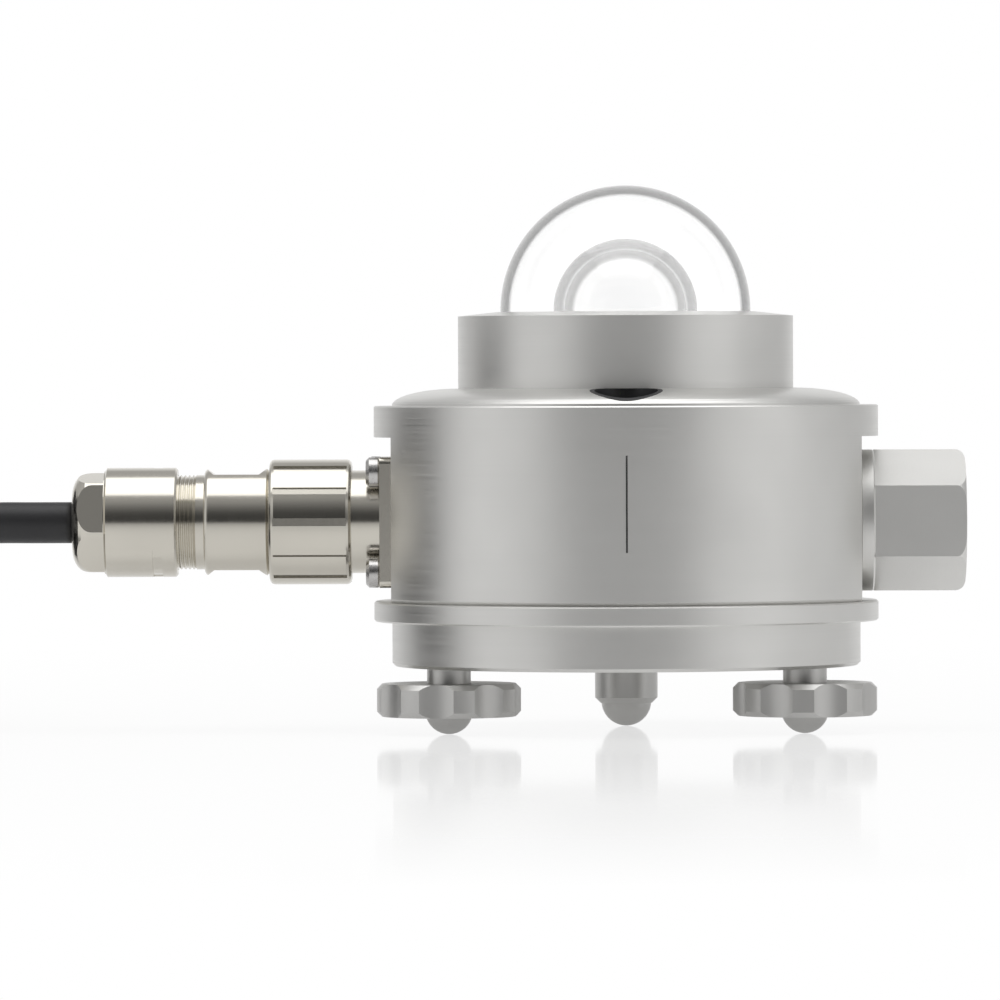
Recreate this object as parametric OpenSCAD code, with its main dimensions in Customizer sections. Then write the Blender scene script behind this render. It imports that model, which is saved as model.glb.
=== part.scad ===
// Pyranometer: two glass domes over a black sensor, on a round metal housing with a base plate,
// two levelling feet, a drying cartridge on the right and a screwed cable plug on the left.
// Z is up, X points to the drying cartridge, and the origin is the centre of the base plate's underside.

/* [Base plate] */
// Diameter of the housing and of the base plate's rim
body_d = 78.4; // [78:0.1:82]
// How far the rim stands out from the lower part of the base plate
rim_overhang = 2.8; // [2.2:0.1:3.2]
// Height of the lower part of the base plate
base_low_h = 6.95; // [6.5:0.05:9]
// Thickness of the rim of the base plate
base_rim_h = 3.1; // [2.5:0.05:4]
// Chamfer on the edges of the base plate
base_chamfer = 0.5; // [0.2:0.05:0.8]
// Diameter of the raised centre of the base plate
base_centre_d = 50; // [46:0.5:51]
// Height of the raised centre of the base plate
base_centre_h = 1.4; // [0.8:0.1:2]
// Tapping diameter of the thread in the middle of the base plate
centre_thread_d = 5; // [4:0.1:6]
// Depth of the thread in the middle of the base plate
centre_thread_depth = 8.6; // [6:0.1:9]
// Tapping diameter of the two outer mounting threads
mount_thread_d = 4.2; // [3:0.1:4.6]
// Depth of the two outer mounting threads
mount_thread_depth = 8.2; // [6:0.1:8.6]
// Distance between the two outer mounting threads
mount_spacing = 65; // [60:0.5:66]

/* [Housing] */
// Height of the housing's straight wall
housing_wall_h = 30.35; // [30:0.05:34]
// How far the two side flats cut into the housing
flat_inset = 2.95; // [2.2:0.05:3.2]
// Height from the base plate up to where the side flats end
flat_h = 25.5; // [25:0.05:27]
// Height of the rounded shoulder
shoulder_h = 2.65; // [2:0.05:4]
// Chamfer at the foot of the housing
housing_chamfer = 0.6; // [0.2:0.05:0.8]
// Thickness of the housing's round wall
housing_wall = 6.2; // [5.7:0.1:6.7]
// Thickness of the housing's roof
roof_t = 5.05; // [4.8:0.05:6]
// Height of the two side ports above the base plate's underside
port_z = 22.4; // [22.2:0.05:24]
// Diameter of the bosses that take the base screws
screw_boss_d = 7.6; // [7:0.1:8]
// Height of the bosses that take the base screws
screw_boss_h = 9; // [7:0.1:10]

/* [Spirit level] */
// Diameter of the pocket for the level
level_pocket_d = 11.2; // [10:0.1:11.6]
// Distance of the level's middle from the edge of the housing
level_inset = 8.8; // [8.2:0.1:9.2]
// Depth of the level's pocket below the top of the housing
level_pocket_depth = 8.4; // [7:0.1:9]
// Diameter of the level's cup
level_cup_d = 11; // [9.5:0.1:11.1]
// Height of the level's cup
level_cup_h = 4.7; // [4:0.1:5]
// Wall of the level's cup
level_wall = 0.7; // [0.5:0.05:1]
// Thickness of the level's glass
level_glass_t = 1.1; // [0.8:0.1:1.3]
// Diameter of the bubble
bubble_d = 3.6; // [2.5:0.1:4.5]

/* [Dome ring] */
// Diameter of the dome ring
ring_d = 52.1; // [51:0.1:53]
// Height of the dome ring's outer wall
ring_h = 11.2; // [10.5:0.05:13]
// Rise of the cone on top of the dome ring
ring_cone_h = 0.65; // [0.4:0.05:1]
// Diameter inside which the top of the dome ring is flat
ring_flat_d = 40.4; // [40:0.1:42]
// Diameter of the bore in the dome ring
ring_bore_d = 26.3; // [26.2:0.1:27]

/* [Domes] */
// Outside diameter of the outer dome
outer_dome_d = 38.9; // [38:0.1:39.2]
// Wall of the outer dome
outer_dome_t = 1.5; // [1:0.1:2]
// Outside diameter of the inner dome
inner_dome_d = 22.4; // [20:0.1:22.8]
// Wall of the inner dome
inner_dome_t = 1.7; // [1:0.1:2]
// Depth to which the domes reach into their grooves
dome_skirt = 1.4; // [1:0.1:1.8]
// Height of the domes' centre above the top of the dome ring
dome_centre_rise = 0.2; // [0:0.05:1]
// Thickness of the bond under each dome
bond_t = 0.3; // [0.2:0.05:0.5]
// Space on each side of a dome in its groove
dome_gap = 0.2; // [0.1:0.05:0.3]

/* [Sensor] */
// Diameter of the sensor block's column
block_d = 26; // [25.6:0.1:26]
// Diameter of the sensor block's flange
block_flange_d = 36; // [35:0.1:37]
// Thickness of the sensor block's flange
block_flange_t = 3; // [2.5:0.1:3.2]
// Length of the sensor block's column below its flange
block_tail = 8.6; // [6:0.1:8.8]
// Diameter of the recess for the thermopile
thermopile_pocket_d = 16; // [14:0.1:17]
// Diameter of the thermopile
thermopile_d = 15.6; // [13:0.1:15.8]
// Thickness of the thermopile's ceramic disc
thermopile_t = 1.4; // [1:0.1:2]
// Number of wire junctions around the thermopile
junction_count = 24; // [12:1:36]
// Diameter of the black absorber disc
absorber_d = 12; // [10:0.1:12.4]
// Thickness of the black absorber disc
absorber_t = 0.5; // [0.3:0.05:0.8]
// Wall of the heater band around the block
heater_t = 0.7; // [0.4:0.05:1]
// Height of the heater band
heater_h = 4; // [3:0.1:4.6]
// Diameter of the temperature sensor
probe_d = 2.8; // [2:0.1:3]
// Length of the temperature sensor
probe_l = 9; // [6:0.1:10]

/* [Feet] */
// Distance of the levelling screws from the left and right ends of the base plate's lower part
foot_inset = 9.03; // [8.4:0.01:10.4]
// Distance of the levelling screws in front of the middle
foot_y = 15.8; // [15:0.1:17]
// Distance of the rear foot behind the middle
rear_foot_y = 15.5; // [14:0.1:20]
// Height of the base plate's underside above the surface it stands on
stand_h = 10.07; // [10:0.01:12]
// Diameter of the levelling screws
foot_screw_d = 6.76; // [6:0.02:7]
// Length of the levelling screws above the base plate's underside
foot_screw_grip = 7.4; // [6:0.1:7.5]
// Diameter of the ball on the levelling screws
foot_ball_d = 7.38; // [7.2:0.02:8]
// Diameter of the hand wheels
wheel_d = 22.2; // [20:0.1:22.6]
// Thickness of the hand wheels
wheel_t = 5.07; // [4.5:0.01:5.2]
// Gap between the base plate and a hand wheel
wheel_gap = 2.24; // [2.1:0.02:2.6]
// Number of lobes on a hand wheel
wheel_lobes = 8; // [6:1:10]
// Depth of the hollows between the lobes
wheel_hollow = 0.9; // [0.5:0.05:1.2]
// Radius of the hollows between the lobes
wheel_hollow_r = 6.6; // [5:0.1:8]
// Chamfer on the hand wheels
wheel_chamfer = 0.8; // [0.4:0.05:1]
// Diameter of the rear foot
rear_foot_d = 9.85; // [9:0.05:11]
// Length of the rear foot's straight part
rear_foot_l = 5.6; // [5:0.05:6]
// Diameter of the ball on the rear foot
rear_ball_d = 7.86; // [7.4:0.02:8]
// Diameter of the rear foot's stud
rear_stud_d = 5; // [4:0.1:6]
// Length of the rear foot's stud
rear_stud_l = 7; // [5:0.1:8]

/* [Drying cartridge] */
// Width of the cap's hexagon across its flats
cap_af = 19; // [18.6:0.1:20]
// Length of the cap from the housing to its end
cap_l = 16.4; // [15:0.1:20]
// Thickness of the cap's collar
collar_t = 2.25; // [1.8:0.05:3]
// Radius of the rounded end of the cap
cap_end_r = 1.5; // [1:0.1:2]
// Diameter of the cap's thread
cap_thread_d = 18; // [17.6:0.1:18.2]
// Length of the cap's thread
cap_thread_l = 8; // [6.5:0.1:8.4]
// Diameter of the boss behind the cartridge's port
port_boss_d = 23.2; // [22.4:0.1:23.4]
// Length of the boss behind the cartridge's port
port_boss_l = 9.6; // [8:0.1:10]
// Outside diameter of the cage
cage_d = 15.6; // [15:0.1:15.8]
// Length of the cage behind the thread
cage_l = 15.4; // [12:0.1:16]
// Wall of the cage
cage_t = 0.7; // [0.5:0.05:0.9]
// Number of slots around the cage
cage_slots = 8; // [6:1:10]
// Diameter of the drying beads
bead_d = 4; // [3:0.1:4.4]
// Diameter of the window in the cap
window_d = 13; // [10:0.1:14]
// Thickness of the window in the cap
window_t = 1.5; // [1:0.1:2]

/* [Socket] */
// Width of the socket's square flange
flange_w = 20.2; // [19.6:0.1:21]
// Thickness of the socket's square flange
flange_t = 1.9; // [1.5:0.05:2.4]
// Corner radius of the socket's square flange
flange_r = 1; // [0.5:0.1:2]
// Distance between the flange's screws
flange_screw_spacing = 15.5; // [15:0.1:16]
// Diameter of the heads of the flange's screws
flange_head_d = 4.7; // [4:0.1:5]
// Height of the heads of the flange's screws
flange_head_h = 2.1; // [1.5:0.05:2.4]
// Outside diameter of the socket's threaded barrel
socket_d = 16; // [15.6:0.1:16.2]
// Length of the socket from the flat to its mouth
socket_l = 13; // [12:0.1:14]
// Bore of the socket
socket_bore_d = 12.4; // [12:0.1:13]
// Diameter of the socket behind its flange
socket_tail_d = 14.5; // [14:0.1:15]
// Length of the socket behind its flange
socket_tail_l = 7; // [5:0.1:8]
// Number of contact pins around the middle one
pin_count = 6; // [4:1:7]
// Diameter of the circle of the contact pins
pin_circle_d = 7; // [6:0.1:7.6]
// Diameter of the contact pins
pin_d = 1; // [0.8:0.05:1.2]

/* [Plug] */
// Diameter of the coupling ring
coupling_d = 19.45; // [19:0.05:20.5]
// Length of the coupling ring
coupling_l = 12.8; // [12:0.1:13]
// Gap between the flange and the coupling ring
coupling_gap = 4.45; // [4.2:0.05:5]
// Number of grooves on the coupling ring
groove_count = 12; // [8:1:16]
// Width of the grooves on the coupling ring
groove_w = 1.2; // [1:0.1:2]
// Depth of the grooves on the coupling ring
groove_depth = 0.3; // [0.2:0.05:0.5]
// Radius of the coupling ring's edges
coupling_edge_r = 0.8; // [0.4:0.1:1]
// Smooth length left at each end of the coupling ring
groove_margin = 0.7; // [0.5:0.1:2]
// Diameter of the plug's sleeve inside the coupling ring
sleeve_d = 13.3; // [12.9:0.1:13.6]
// Diameter of the plug's barrel
barrel_d = 16.6; // [16:0.1:17.4]
// Length of the plug's barrel
barrel_l = 10; // [9:0.1:12]
// Radius of the barrel's left edge
barrel_end_r = 0.75; // [0.4:0.05:0.9]
// Distance between the two spanner flats of the barrel
barrel_af = 14.8; // [14.2:0.1:15.4]
// Outside diameter of the clamp thread
clamp_thread_d = 14.7; // [14:0.1:15]
// Pitch of the clamp thread
clamp_pitch = 0.65; // [0.6:0.05:1.2]
// Length of the clamp thread that shows
clamp_thread_l = 4.2; // [3.5:0.1:5]
// Diameter of the clamp nut
clamp_nut_d = 17; // [16.6:0.1:18]
// Length of the round part of the clamp nut
clamp_nut_l = 11.25; // [10:0.05:13]
// Length of the nose of the clamp nut
clamp_nose_l = 5.1; // [4.5:0.1:6]
// Diameter of the nose of the clamp nut
clamp_nose_d = 16.07; // [15.6:0.01:16.5]
// Distance between opposite flats on the nose
clamp_nose_af = 14.1; // [13.6:0.1:15]
// Corner radius of the nose
clamp_nose_r = 3.2; // [2.5:0.1:3.5]

/* [Cable] */
// Diameter of the cable
cable_d = 6.4; // [6:0.1:6.4]
// Radius of the middle of the coil's turns
coil_r = 33.2; // [32:0.1:34]
// Gap between the turns of the coil
turn_gap = 0.7; // [0.65:0.01:0.9]
// Thickness of the ties around the coil
tie_t = 0.8; // [0.5:0.1:1.2]
// Width of the ties around the coil
tie_w = 9; // [6:0.5:12]
// Diameter of the bare leads
lead_d = 1.3; // [1:0.1:1.3]
// Length of the bare leads along the coil
lead_l = 46; // [30:1:55]

/* [Hidden] */

$fn = 96;
// Overrun of every cut past the surface that it opens
cut = 0.5;
// Radial play of a turning or screwed fit
fit = 0.05;
// Free play around a seal in its groove
seal_play = 0.05;
// Section of the seals
seal_d = 1.3;
// Diameter of the small countersunk and cap screws
small_screw_d = 3;
// Head diameter of the small screws
small_head_d = 5.6;
// Head height of the small screws
small_head_h = 1.7;

base_low_d = body_d - rim_overhang * 2;
base_top = base_low_h + base_rim_h;
cavity_d = body_d - housing_wall * 2;
flat_x = body_d / 2 - flat_inset;
level_y = body_d / 2 - level_inset;
foot_x = base_low_d / 2 - foot_inset;
housing_top = base_top + housing_wall_h + shoulder_h;
ring_edge_z = housing_top + ring_h;
ring_top_z = ring_edge_z + ring_cone_h;
roof_under = housing_top - roof_t;
dome_z = ring_top_z + dome_centre_rise;
groove_z = ring_top_z - dome_skirt - bond_t;
outer_groove_r = [outer_dome_d / 2 - outer_dome_t - dome_gap, outer_dome_d / 2 + dome_gap];
inner_groove_r = [inner_dome_d / 2 - inner_dome_t - dome_gap, inner_dome_d / 2 + dome_gap];
block_hole_d = block_d + (heater_t + fit) * 2 + fit * 2;
block_bottom = housing_top - block_flange_t - block_tail;
wire_bore_d = block_d / 4;
thermopile_z = groove_z - bond_t * 2;
thermopile_top = thermopile_z + thermopile_t;
housing_seal_r = (block_flange_d + seal_d) / 2 + seal_d / 2;
base_seal_r = (cavity_d / 2 + flat_x) / 2;
base_screw_r = cavity_d / 2 - screw_boss_d / 4;
base_screw_angles = [45, 135, 225, 315];
ring_screw_r = ring_d / 2 - small_screw_d;
ring_screw_grip = 5;
block_screw_r = block_flange_d / 2 - small_screw_d * 0.8;
level_floor = housing_top - level_pocket_depth;
level_boss_wall = 1.6;
rear_chamfer = (rear_foot_d - rear_ball_d) / 2 - fit * 2;

// Terminal board: length, width and thickness, its place, its posts and the inner wires
board_size = [30, 24, 1.6];
board_x = -9;
post_h = 3.6;
board_z = base_top + base_centre_h + post_h;
board_hole_inset = 3;
post_d = 4.4;
wire_d = 0.9;
wire_pitch = 1.8;
// Angles at which the hand wheels stand
left_wheel_phase = 305.5;
right_wheel_phase = 20;
// Screws of the socket's flange, and how far the pins reach into the housing
flange_screw_d = 2.5;
flange_screw_l = 5;
pin_tail = 9;
// Slits of the cable clamp
slit = 0.8;
// Two slots around the clamp nut, for a face spanner, and the turn of the flats on its nose
mark_w = 1.5;
mark_depth = 0.35;
mark_share = 0.2;
mark_from = -6;
mark_steps = 6;
mark_step = 11;
nose_turn = -11.4;
// Angles of the ties around the coil
tie_angles = [110, 180, 250];

port_hole_d = cap_thread_d + fit * 2;
cap_ac = cap_af / cos(30);
cartridge_seal_r = cap_thread_d / 2 + seal_d * 0.8;
window_depth = window_t + bond_t * 2;
cage_grip = 2;
cap_bore_d = cage_d + fit * 2;
bead_ring_share = 1.06;
bead_step_share = 1.03;
bead_layers = floor((cage_l + cage_grip - cage_t * 3) / (bead_d * bead_step_share));

pin_reach = 8;
insert_front = 2.4;
pin_angles = [for (k = [0 : pin_count - 1]) 360 * k / pin_count];
coupling_u = flange_t + coupling_gap;
coupling_end = coupling_u + coupling_l;
web_t = 4.6;
barrel_u = coupling_end + fit * 2;
barrel_end = barrel_u + barrel_l;
nut_u = barrel_end + clamp_thread_l;
nut_shoulder = nut_u + clamp_nut_l;
plug_end = nut_shoulder + clamp_nose_l;
sleeve_u = socket_l + fit * 6;
wire_room = 2.5;
plug_bore_d = cable_d + wire_room * 2;
thread_tail_u = nut_u + clamp_nut_l * 0.5;
seal_u = thread_tail_u + fit * 2;
gland_seal_l = 4.2;
cage_u = seal_u + gland_seal_l + fit;
nut_bore_d = clamp_thread_d + fit * 2;
nut_wall_end = nut_shoulder - fit * 2;
cable_start_u = barrel_u + barrel_l * 0.45;

coil_layers = 8;
turns_per_layer = 2.5;
turn_step = cable_d + turn_gap;
layer_angle = 360 * turns_per_layer;
climb_angle = 180;
block_angle = layer_angle + climb_angle;
coil_angle = coil_layers * layer_angle + (coil_layers - 1) * climb_angle;
coil_out = coil_r + turn_step * turns_per_layer / 2;
coil_in = coil_r - turn_step * turns_per_layer / 2;
coil_step = 15;
coil_start = -90;
// Middle of the coil, to the left of the plug's end, and how far to the front the cable enters it
coil_x = -flat_x - plug_end - 73.95;
coil_entry_y = -15;
coil_y = coil_entry_y + coil_out;
tie_play = 0.1;
lowest_z = -stand_h + tie_t + tie_play + cable_d / 2;
// The free stretch of the cable, from the plug down to the surface it lies on. For each point: the
// way to the left from the plug's end, and its shares of the swing to the front and of the drop
plug_end_x = -flat_x - plug_end;
route_shares = [
  [5.95, 0, 0], [11.95, 0, 0], [16.25, 0.02, 0.0106], [20.45, 0.08, 0.0423], [24.55, 0.1733, 0.0952],
  [28.35, 0.2733, 0.1657], [31.85, 0.3733, 0.2538], [35.15, 0.4733, 0.3701], [37.95, 0.56, 0.5005],
  [40.75, 0.6467, 0.6309], [44.05, 0.7467, 0.7472], [47.55, 0.8333, 0.8353], [51.35, 0.9133, 0.9058],
  [55.45, 0.9733, 0.9587], [59.65, 1, 0.9904], [63.55, 1, 1]
];
cable_route = [
  [plug_end_x, 0, port_z],
  for (p = route_shares)
    [plug_end_x - p[0], coil_entry_y * p[1], port_z * (1 - p[2]) + lowest_z * p[2]],
  [coil_x + cable_d, coil_entry_y, lowest_z]
];

// Functions for tubes: unit vectors, the direction at a point, and one ring of corners
function unit(v) = v / norm(v);
function heading(p, i) = unit(p[min(i + 1, len(p) - 1)] - p[max(i - 1, 0)]);
function corners(p, i, r, sides, up) =
  let (t = heading(p, i), s = unit(cross(t, up)), w = cross(s, t))
  [for (k = [0 : sides - 1]) p[i] + r * (cos(360 * k / sides) * s + sin(360 * k / sides) * w)];

// A solid tube along the points p, with flat triangles
module tube(p, r, sides, up = [0, 0, 1]) {
  last = (len(p) - 1) * sides;
  rings = [for (i = [0 : len(p) - 1]) each corners(p, i, r, sides, up)];
  walls = [
    for (i = [0 : len(p) - 2], k = [0 : sides - 1])
      let (a = i * sides + k, b = i * sides + (k + 1) % sides)
      each [[a, b, b + sides], [a, b + sides, a + sides]]
  ];
  caps = [for (k = [1 : sides - 2]) each [[0, k + 1, k], [last, last + k, last + k + 1]]];
  polyhedron(points = rings, faces = concat(walls, caps), convexity = 10);
}

// A washer or tube around Z between two radii
module washer(r_in, r_out, z0, z1) {
  translate([0, 0, z0])
    difference() {
      cylinder(r = r_out, h = z1 - z0);
      translate([0, 0, -cut]) cylinder(r = r_in, h = z1 - z0 + cut * 2);
    }
}

// A ring of round section
module seal_ring(r, d) {
  rotate_extrude() translate([r, 0]) circle(d = d, $fn = 32);
}

// A rectangle with round corners, in the plane of X and Y
module round_rectangle(w, h, r) {
  square([w - r * 2, h], center = true);
  square([w, h - r * 2], center = true);
  for (x = [-1, 1], y = [-1, 1])
    translate([x * (w / 2 - r), y * (h / 2 - r)]) circle(r = r, $fn = 48);
}

// A chamfered disc around Z, from z = 0 to h
module chamfered_disc(d, h, low, high) {
  rotate_extrude()
    polygon([
      [0, 0], [d / 2 - low, 0], [d / 2, low], [d / 2, h - high], [d / 2 - high, h], [0, h]
    ]);
}

// Frames of the two side ports: local Z points out of the housing
module on_left() {
  translate([-flat_x, 0, port_z]) rotate([0, -90, 0]) children();
}

module on_right() {
  translate([flat_x, 0, port_z]) rotate([0, 90, 0]) children();
}

// A screw whose head's top is at z = 0 and whose shank points down
module countersunk_screw(d, head_d, grip) {
  rotate_extrude()
    polygon([
      [0, 0], [head_d / 2, 0], [head_d / 2, -bond_t], [d / 2, -bond_t - (head_d - d) / 2],
      [d / 2, -grip], [0, -grip]
    ]);
}

module at_base_screws() {
  for (a = base_screw_angles) rotate([0, 0, a]) translate([base_screw_r, 0, 0]) children();
}

module at_front_feet() {
  for (side = [-1, 1]) translate([side * foot_x, -foot_y, 0]) children();
}

module base_plate() {
  color([0.76, 0.76, 0.75])
  difference() {
    union() {
      chamfered_disc(base_low_d, base_low_h + cut, base_chamfer, 0);
      translate([0, 0, base_low_h]) chamfered_disc(body_d, base_rim_h, base_chamfer / 2, base_chamfer / 2);
      translate([0, 0, base_top - cut])
        chamfered_disc(base_centre_d, base_centre_h + cut, 0, base_chamfer);
    }
    translate([0, 0, -cut]) cylinder(d = centre_thread_d, h = centre_thread_depth + cut);
    for (side = [-1, 1])
      translate([side * mount_spacing / 2, 0, -cut])
        cylinder(d = mount_thread_d, h = mount_thread_depth + cut);
    at_front_feet()
      translate([0, 0, -cut]) cylinder(d = foot_screw_d + fit * 2, h = foot_screw_grip + wheel_gap + cut);
    translate([0, rear_foot_y, -cut]) cylinder(d = rear_stud_d + fit * 2, h = rear_stud_l + cut * 2);
    at_base_screws() {
      translate([0, 0, -cut]) cylinder(d = small_screw_d + fit * 4, h = base_top + cut * 2);
      rotate([180, 0, 0]) countersunk_screw(small_screw_d, small_head_d + fit * 4, cut * 6);
    }
  }
}

module base_seal() {
  color([0.1, 0.1, 0.1])
    translate([0, 0, base_top + seal_d / 2 + seal_play]) seal_ring(base_seal_r, seal_d);
}

module base_screws() {
  color([0.7, 0.7, 0.7])
  at_base_screws()
    rotate([180, 0, 0])
    countersunk_screw(small_screw_d, small_head_d, base_top + screw_boss_h - cut * 2);
}

// Outline of the housing's outside: wall, foot chamfer and a shoulder that is a quarter ellipse
function housing_outline() =
  let (
    r = body_d / 2,
    wall_top = base_top + housing_wall_h,
    lip = (body_d - base_low_d) / 2,
    foot = ring_d / 2,
    run = r - lip - foot
  )
  [
    [0, base_top], [r - housing_chamfer, base_top], [r, base_top + housing_chamfer],
    [r, wall_top - housing_chamfer / 3], [r - housing_chamfer / 3, wall_top], [r - lip, wall_top],
    for (i = [1 : 12]) [foot + run * cos(i * 7.5), wall_top + shoulder_h * sin(i * 7.5)],
    [0, housing_top]
  ];

module housing() {
  color([0.74, 0.74, 0.73])
  difference() {
    union() {
      difference() {
        rotate_extrude() polygon(housing_outline());
        translate([0, 0, base_top - cut]) cylinder(d = cavity_d, h = roof_under - base_top + cut);
        for (side = [-1, 1])
          translate([side * (flat_x + body_d / 2), 0, base_top + flat_h / 2 - cut / 2])
            cube([body_d, body_d, flat_h + cut], center = true);
      }
      intersection() {
        translate([0, 0, base_top]) cylinder(d = cavity_d + cut, h = roof_under - base_top + cut);
        union() {
          at_base_screws() translate([0, 0, base_top]) cylinder(d = screw_boss_d, h = screw_boss_h);
          translate([0, -level_y, level_floor - level_boss_wall])
            cylinder(d = level_pocket_d + level_boss_wall * 2, h = level_pocket_depth);
          on_right() translate([0, 0, -port_boss_l]) cylinder(d = port_boss_d, h = port_boss_l - cut);
        }
      }
    }
    translate([0, 0, roof_under - cut]) cylinder(d = block_hole_d, h = roof_t + cut * 2);
    translate([0, 0, housing_top - block_flange_t])
      cylinder(d = block_flange_d + fit * 2, h = block_flange_t + cut);
    translate([0, 0, housing_top - seal_d - seal_play * 2])
      washer(housing_seal_r - seal_d / 2 - seal_play, housing_seal_r + seal_d / 2 + seal_play, 0, seal_d + cut);
    washer(
      base_seal_r - seal_d / 2 - seal_play, base_seal_r + seal_d / 2 + seal_play,
      base_top - cut, base_top + seal_d + seal_play * 2
    );
    translate([0, -level_y, level_floor]) cylinder(d = level_pocket_d, h = level_pocket_depth + cut);
    at_base_screws()
      translate([0, 0, base_top - cut]) cylinder(d = small_screw_d + fit * 2, h = screw_boss_h);
    at_ring_screws() translate([0, 0, roof_under - cut]) cylinder(d = small_screw_d + fit * 4, h = roof_t + cut * 2);
    at_block_screws()
      translate([0, 0, roof_under + cut]) cylinder(d = small_screw_d * 0.8 + fit * 2, h = roof_t);
    on_left() {
      translate([0, 0, -socket_tail_l]) cylinder(d = socket_tail_d + fit * 6, h = socket_tail_l + cut);
      at_flange_screws() translate([0, 0, -flange_t * 2]) cylinder(d = flange_screw_d + fit * 2, h = flange_t * 3);
    }
    on_right() translate([0, 0, -port_boss_l - cut]) cylinder(d = port_hole_d, h = port_boss_l + cut * 2);
  }
}

module housing_seal() {
  color([0.1, 0.1, 0.1])
    translate([0, 0, housing_top - seal_d / 2 - seal_play]) seal_ring(housing_seal_r, seal_d);
}

module at_ring_screws() {
  for (a = base_screw_angles) rotate([0, 0, a]) translate([ring_screw_r, 0, 0]) children();
}

module at_block_screws() {
  for (a = [30, 150, 270]) rotate([0, 0, a]) translate([block_screw_r, 0, 0]) children();
}

module dome_ring() {
  color([0.72, 0.72, 0.71])
  difference() {
    rotate_extrude()
      polygon([
        [ring_bore_d / 2, housing_top], [ring_d / 2, housing_top], [ring_d / 2, ring_edge_z],
        [ring_flat_d / 2, ring_top_z], [ring_bore_d / 2, ring_top_z]
      ]);
    washer(outer_groove_r[0], outer_groove_r[1], groove_z, ring_top_z + cut);
    at_ring_screws()
      translate([0, 0, housing_top - cut]) cylinder(d = small_screw_d + fit * 2, h = ring_screw_grip + cut * 2);
  }
}

module dome_ring_screws() {
  color([0.7, 0.7, 0.7])
  at_ring_screws() {
    translate([0, 0, roof_under]) cylinder(d = small_screw_d, h = roof_t + ring_screw_grip);
    translate([0, 0, roof_under - small_head_h])
      chamfered_disc(small_head_d, small_head_h, base_chamfer, 0);
  }
}

// A glass hemisphere with a short straight skirt
module dome(d, wall) {
  rotate_extrude()
    difference() {
      union() {
        intersection() {
          circle(d = d, $fn = 180);
          square([d / 2, d / 2]);
        }
        translate([0, -dome_centre_rise - dome_skirt]) square([d / 2, dome_centre_rise + dome_skirt + fit]);
      }
      circle(d = d - wall * 2, $fn = 180);
      translate([0, -dome_centre_rise - dome_skirt - cut])
        square([d / 2 - wall, dome_centre_rise + dome_skirt + cut]);
    }
}

module outer_dome() {
  color([0.85, 0.87, 0.88, 0.4]) translate([0, 0, dome_z]) dome(outer_dome_d, outer_dome_t);
}

module inner_dome() {
  color([0.85, 0.87, 0.88, 0.5]) translate([0, 0, dome_z]) dome(inner_dome_d, inner_dome_t);
}

module outer_dome_bond() {
  color([0.9, 0.9, 0.88])
    washer(outer_groove_r[0] + fit, outer_groove_r[1] - fit, groove_z, groove_z + bond_t);
}

module inner_dome_bond() {
  color([0.9, 0.9, 0.88])
    washer(inner_groove_r[0] + fit, inner_groove_r[1] - fit, groove_z, groove_z + bond_t);
}

module sensor_block() {
  color([0.88, 0.88, 0.87])
  difference() {
    union() {
      translate([0, 0, block_bottom]) chamfered_disc(block_d, ring_top_z - block_bottom, base_chamfer, base_chamfer / 2);
      translate([0, 0, housing_top - block_flange_t]) cylinder(d = block_flange_d, h = block_flange_t);
    }
    washer(inner_groove_r[0], inner_groove_r[1], groove_z, ring_top_z + cut);
    translate([0, 0, thermopile_z]) cylinder(d = thermopile_pocket_d, h = ring_top_z - thermopile_z + cut);
    translate([0, 0, block_bottom - cut]) cylinder(d = wire_bore_d, h = thermopile_z - block_bottom + cut * 2);
    translate([0, block_d / 3, block_bottom - cut]) cylinder(d = probe_d + fit * 2, h = probe_l + cut);
    at_block_screws() {
      translate([0, 0, housing_top - block_flange_t - cut])
        cylinder(d = small_screw_d * 0.8 + fit * 2, h = block_flange_t + cut * 2);
      translate([0, 0, housing_top]) countersunk_screw(small_screw_d * 0.8, small_screw_d * 1.5, block_flange_t);
    }
  }
}

module sensor_block_screws() {
  color([0.7, 0.7, 0.7])
  at_block_screws()
    translate([0, 0, housing_top - fit])
    countersunk_screw(small_screw_d * 0.8, small_screw_d * 1.5 - fit * 2, roof_t - cut * 2);
}

module thermopile() {
  color([0.86, 0.84, 0.78]) {
    translate([0, 0, thermopile_z]) chamfered_disc(thermopile_d, thermopile_t, 0, bond_t / 2);
    for (k = [0 : junction_count - 1])
      rotate([0, 0, 360 * k / junction_count])
        translate([(absorber_d + thermopile_d) / 4, 0, thermopile_top])
        cube([(thermopile_d - absorber_d) / 2 - bond_t * 2, bond_t, bond_t], center = true);
  }
}

module absorber_disc() {
  color([0.03, 0.03, 0.03])
    translate([0, 0, thermopile_top]) chamfered_disc(absorber_d, absorber_t, 0, absorber_t / 4);
}

module heater_band() {
  color([0.75, 0.45, 0.2])
    translate([0, 0, roof_under - heater_h - cut])
    washer(block_d / 2 + fit, block_d / 2 + fit + heater_t, 0, heater_h);
}

module temperature_probe() {
  color([0.9, 0.9, 0.92])
    translate([0, block_d / 3, block_bottom - cut]) chamfered_disc(probe_d, probe_l, bond_t, bond_t);
}

module level_cup() {
  color([0.08, 0.08, 0.08])
    translate([0, -level_y, level_floor])
    difference() {
      chamfered_disc(level_cup_d, level_cup_h, bond_t, 0);
      translate([0, 0, level_wall]) cylinder(d = level_cup_d - level_wall * 2, h = level_cup_h);
    }
}

module level_liquid() {
  liquid_h = level_cup_h - level_wall;
  color([0.75, 0.85, 0.3])
    translate([0, -level_y, level_floor + level_wall])
    difference() {
      cylinder(d = level_cup_d - level_wall * 2 - fit, h = liquid_h);
      translate([0, 0, liquid_h + bubble_d / 4]) sphere(d = bubble_d, $fn = 32);
    }
}

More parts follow.
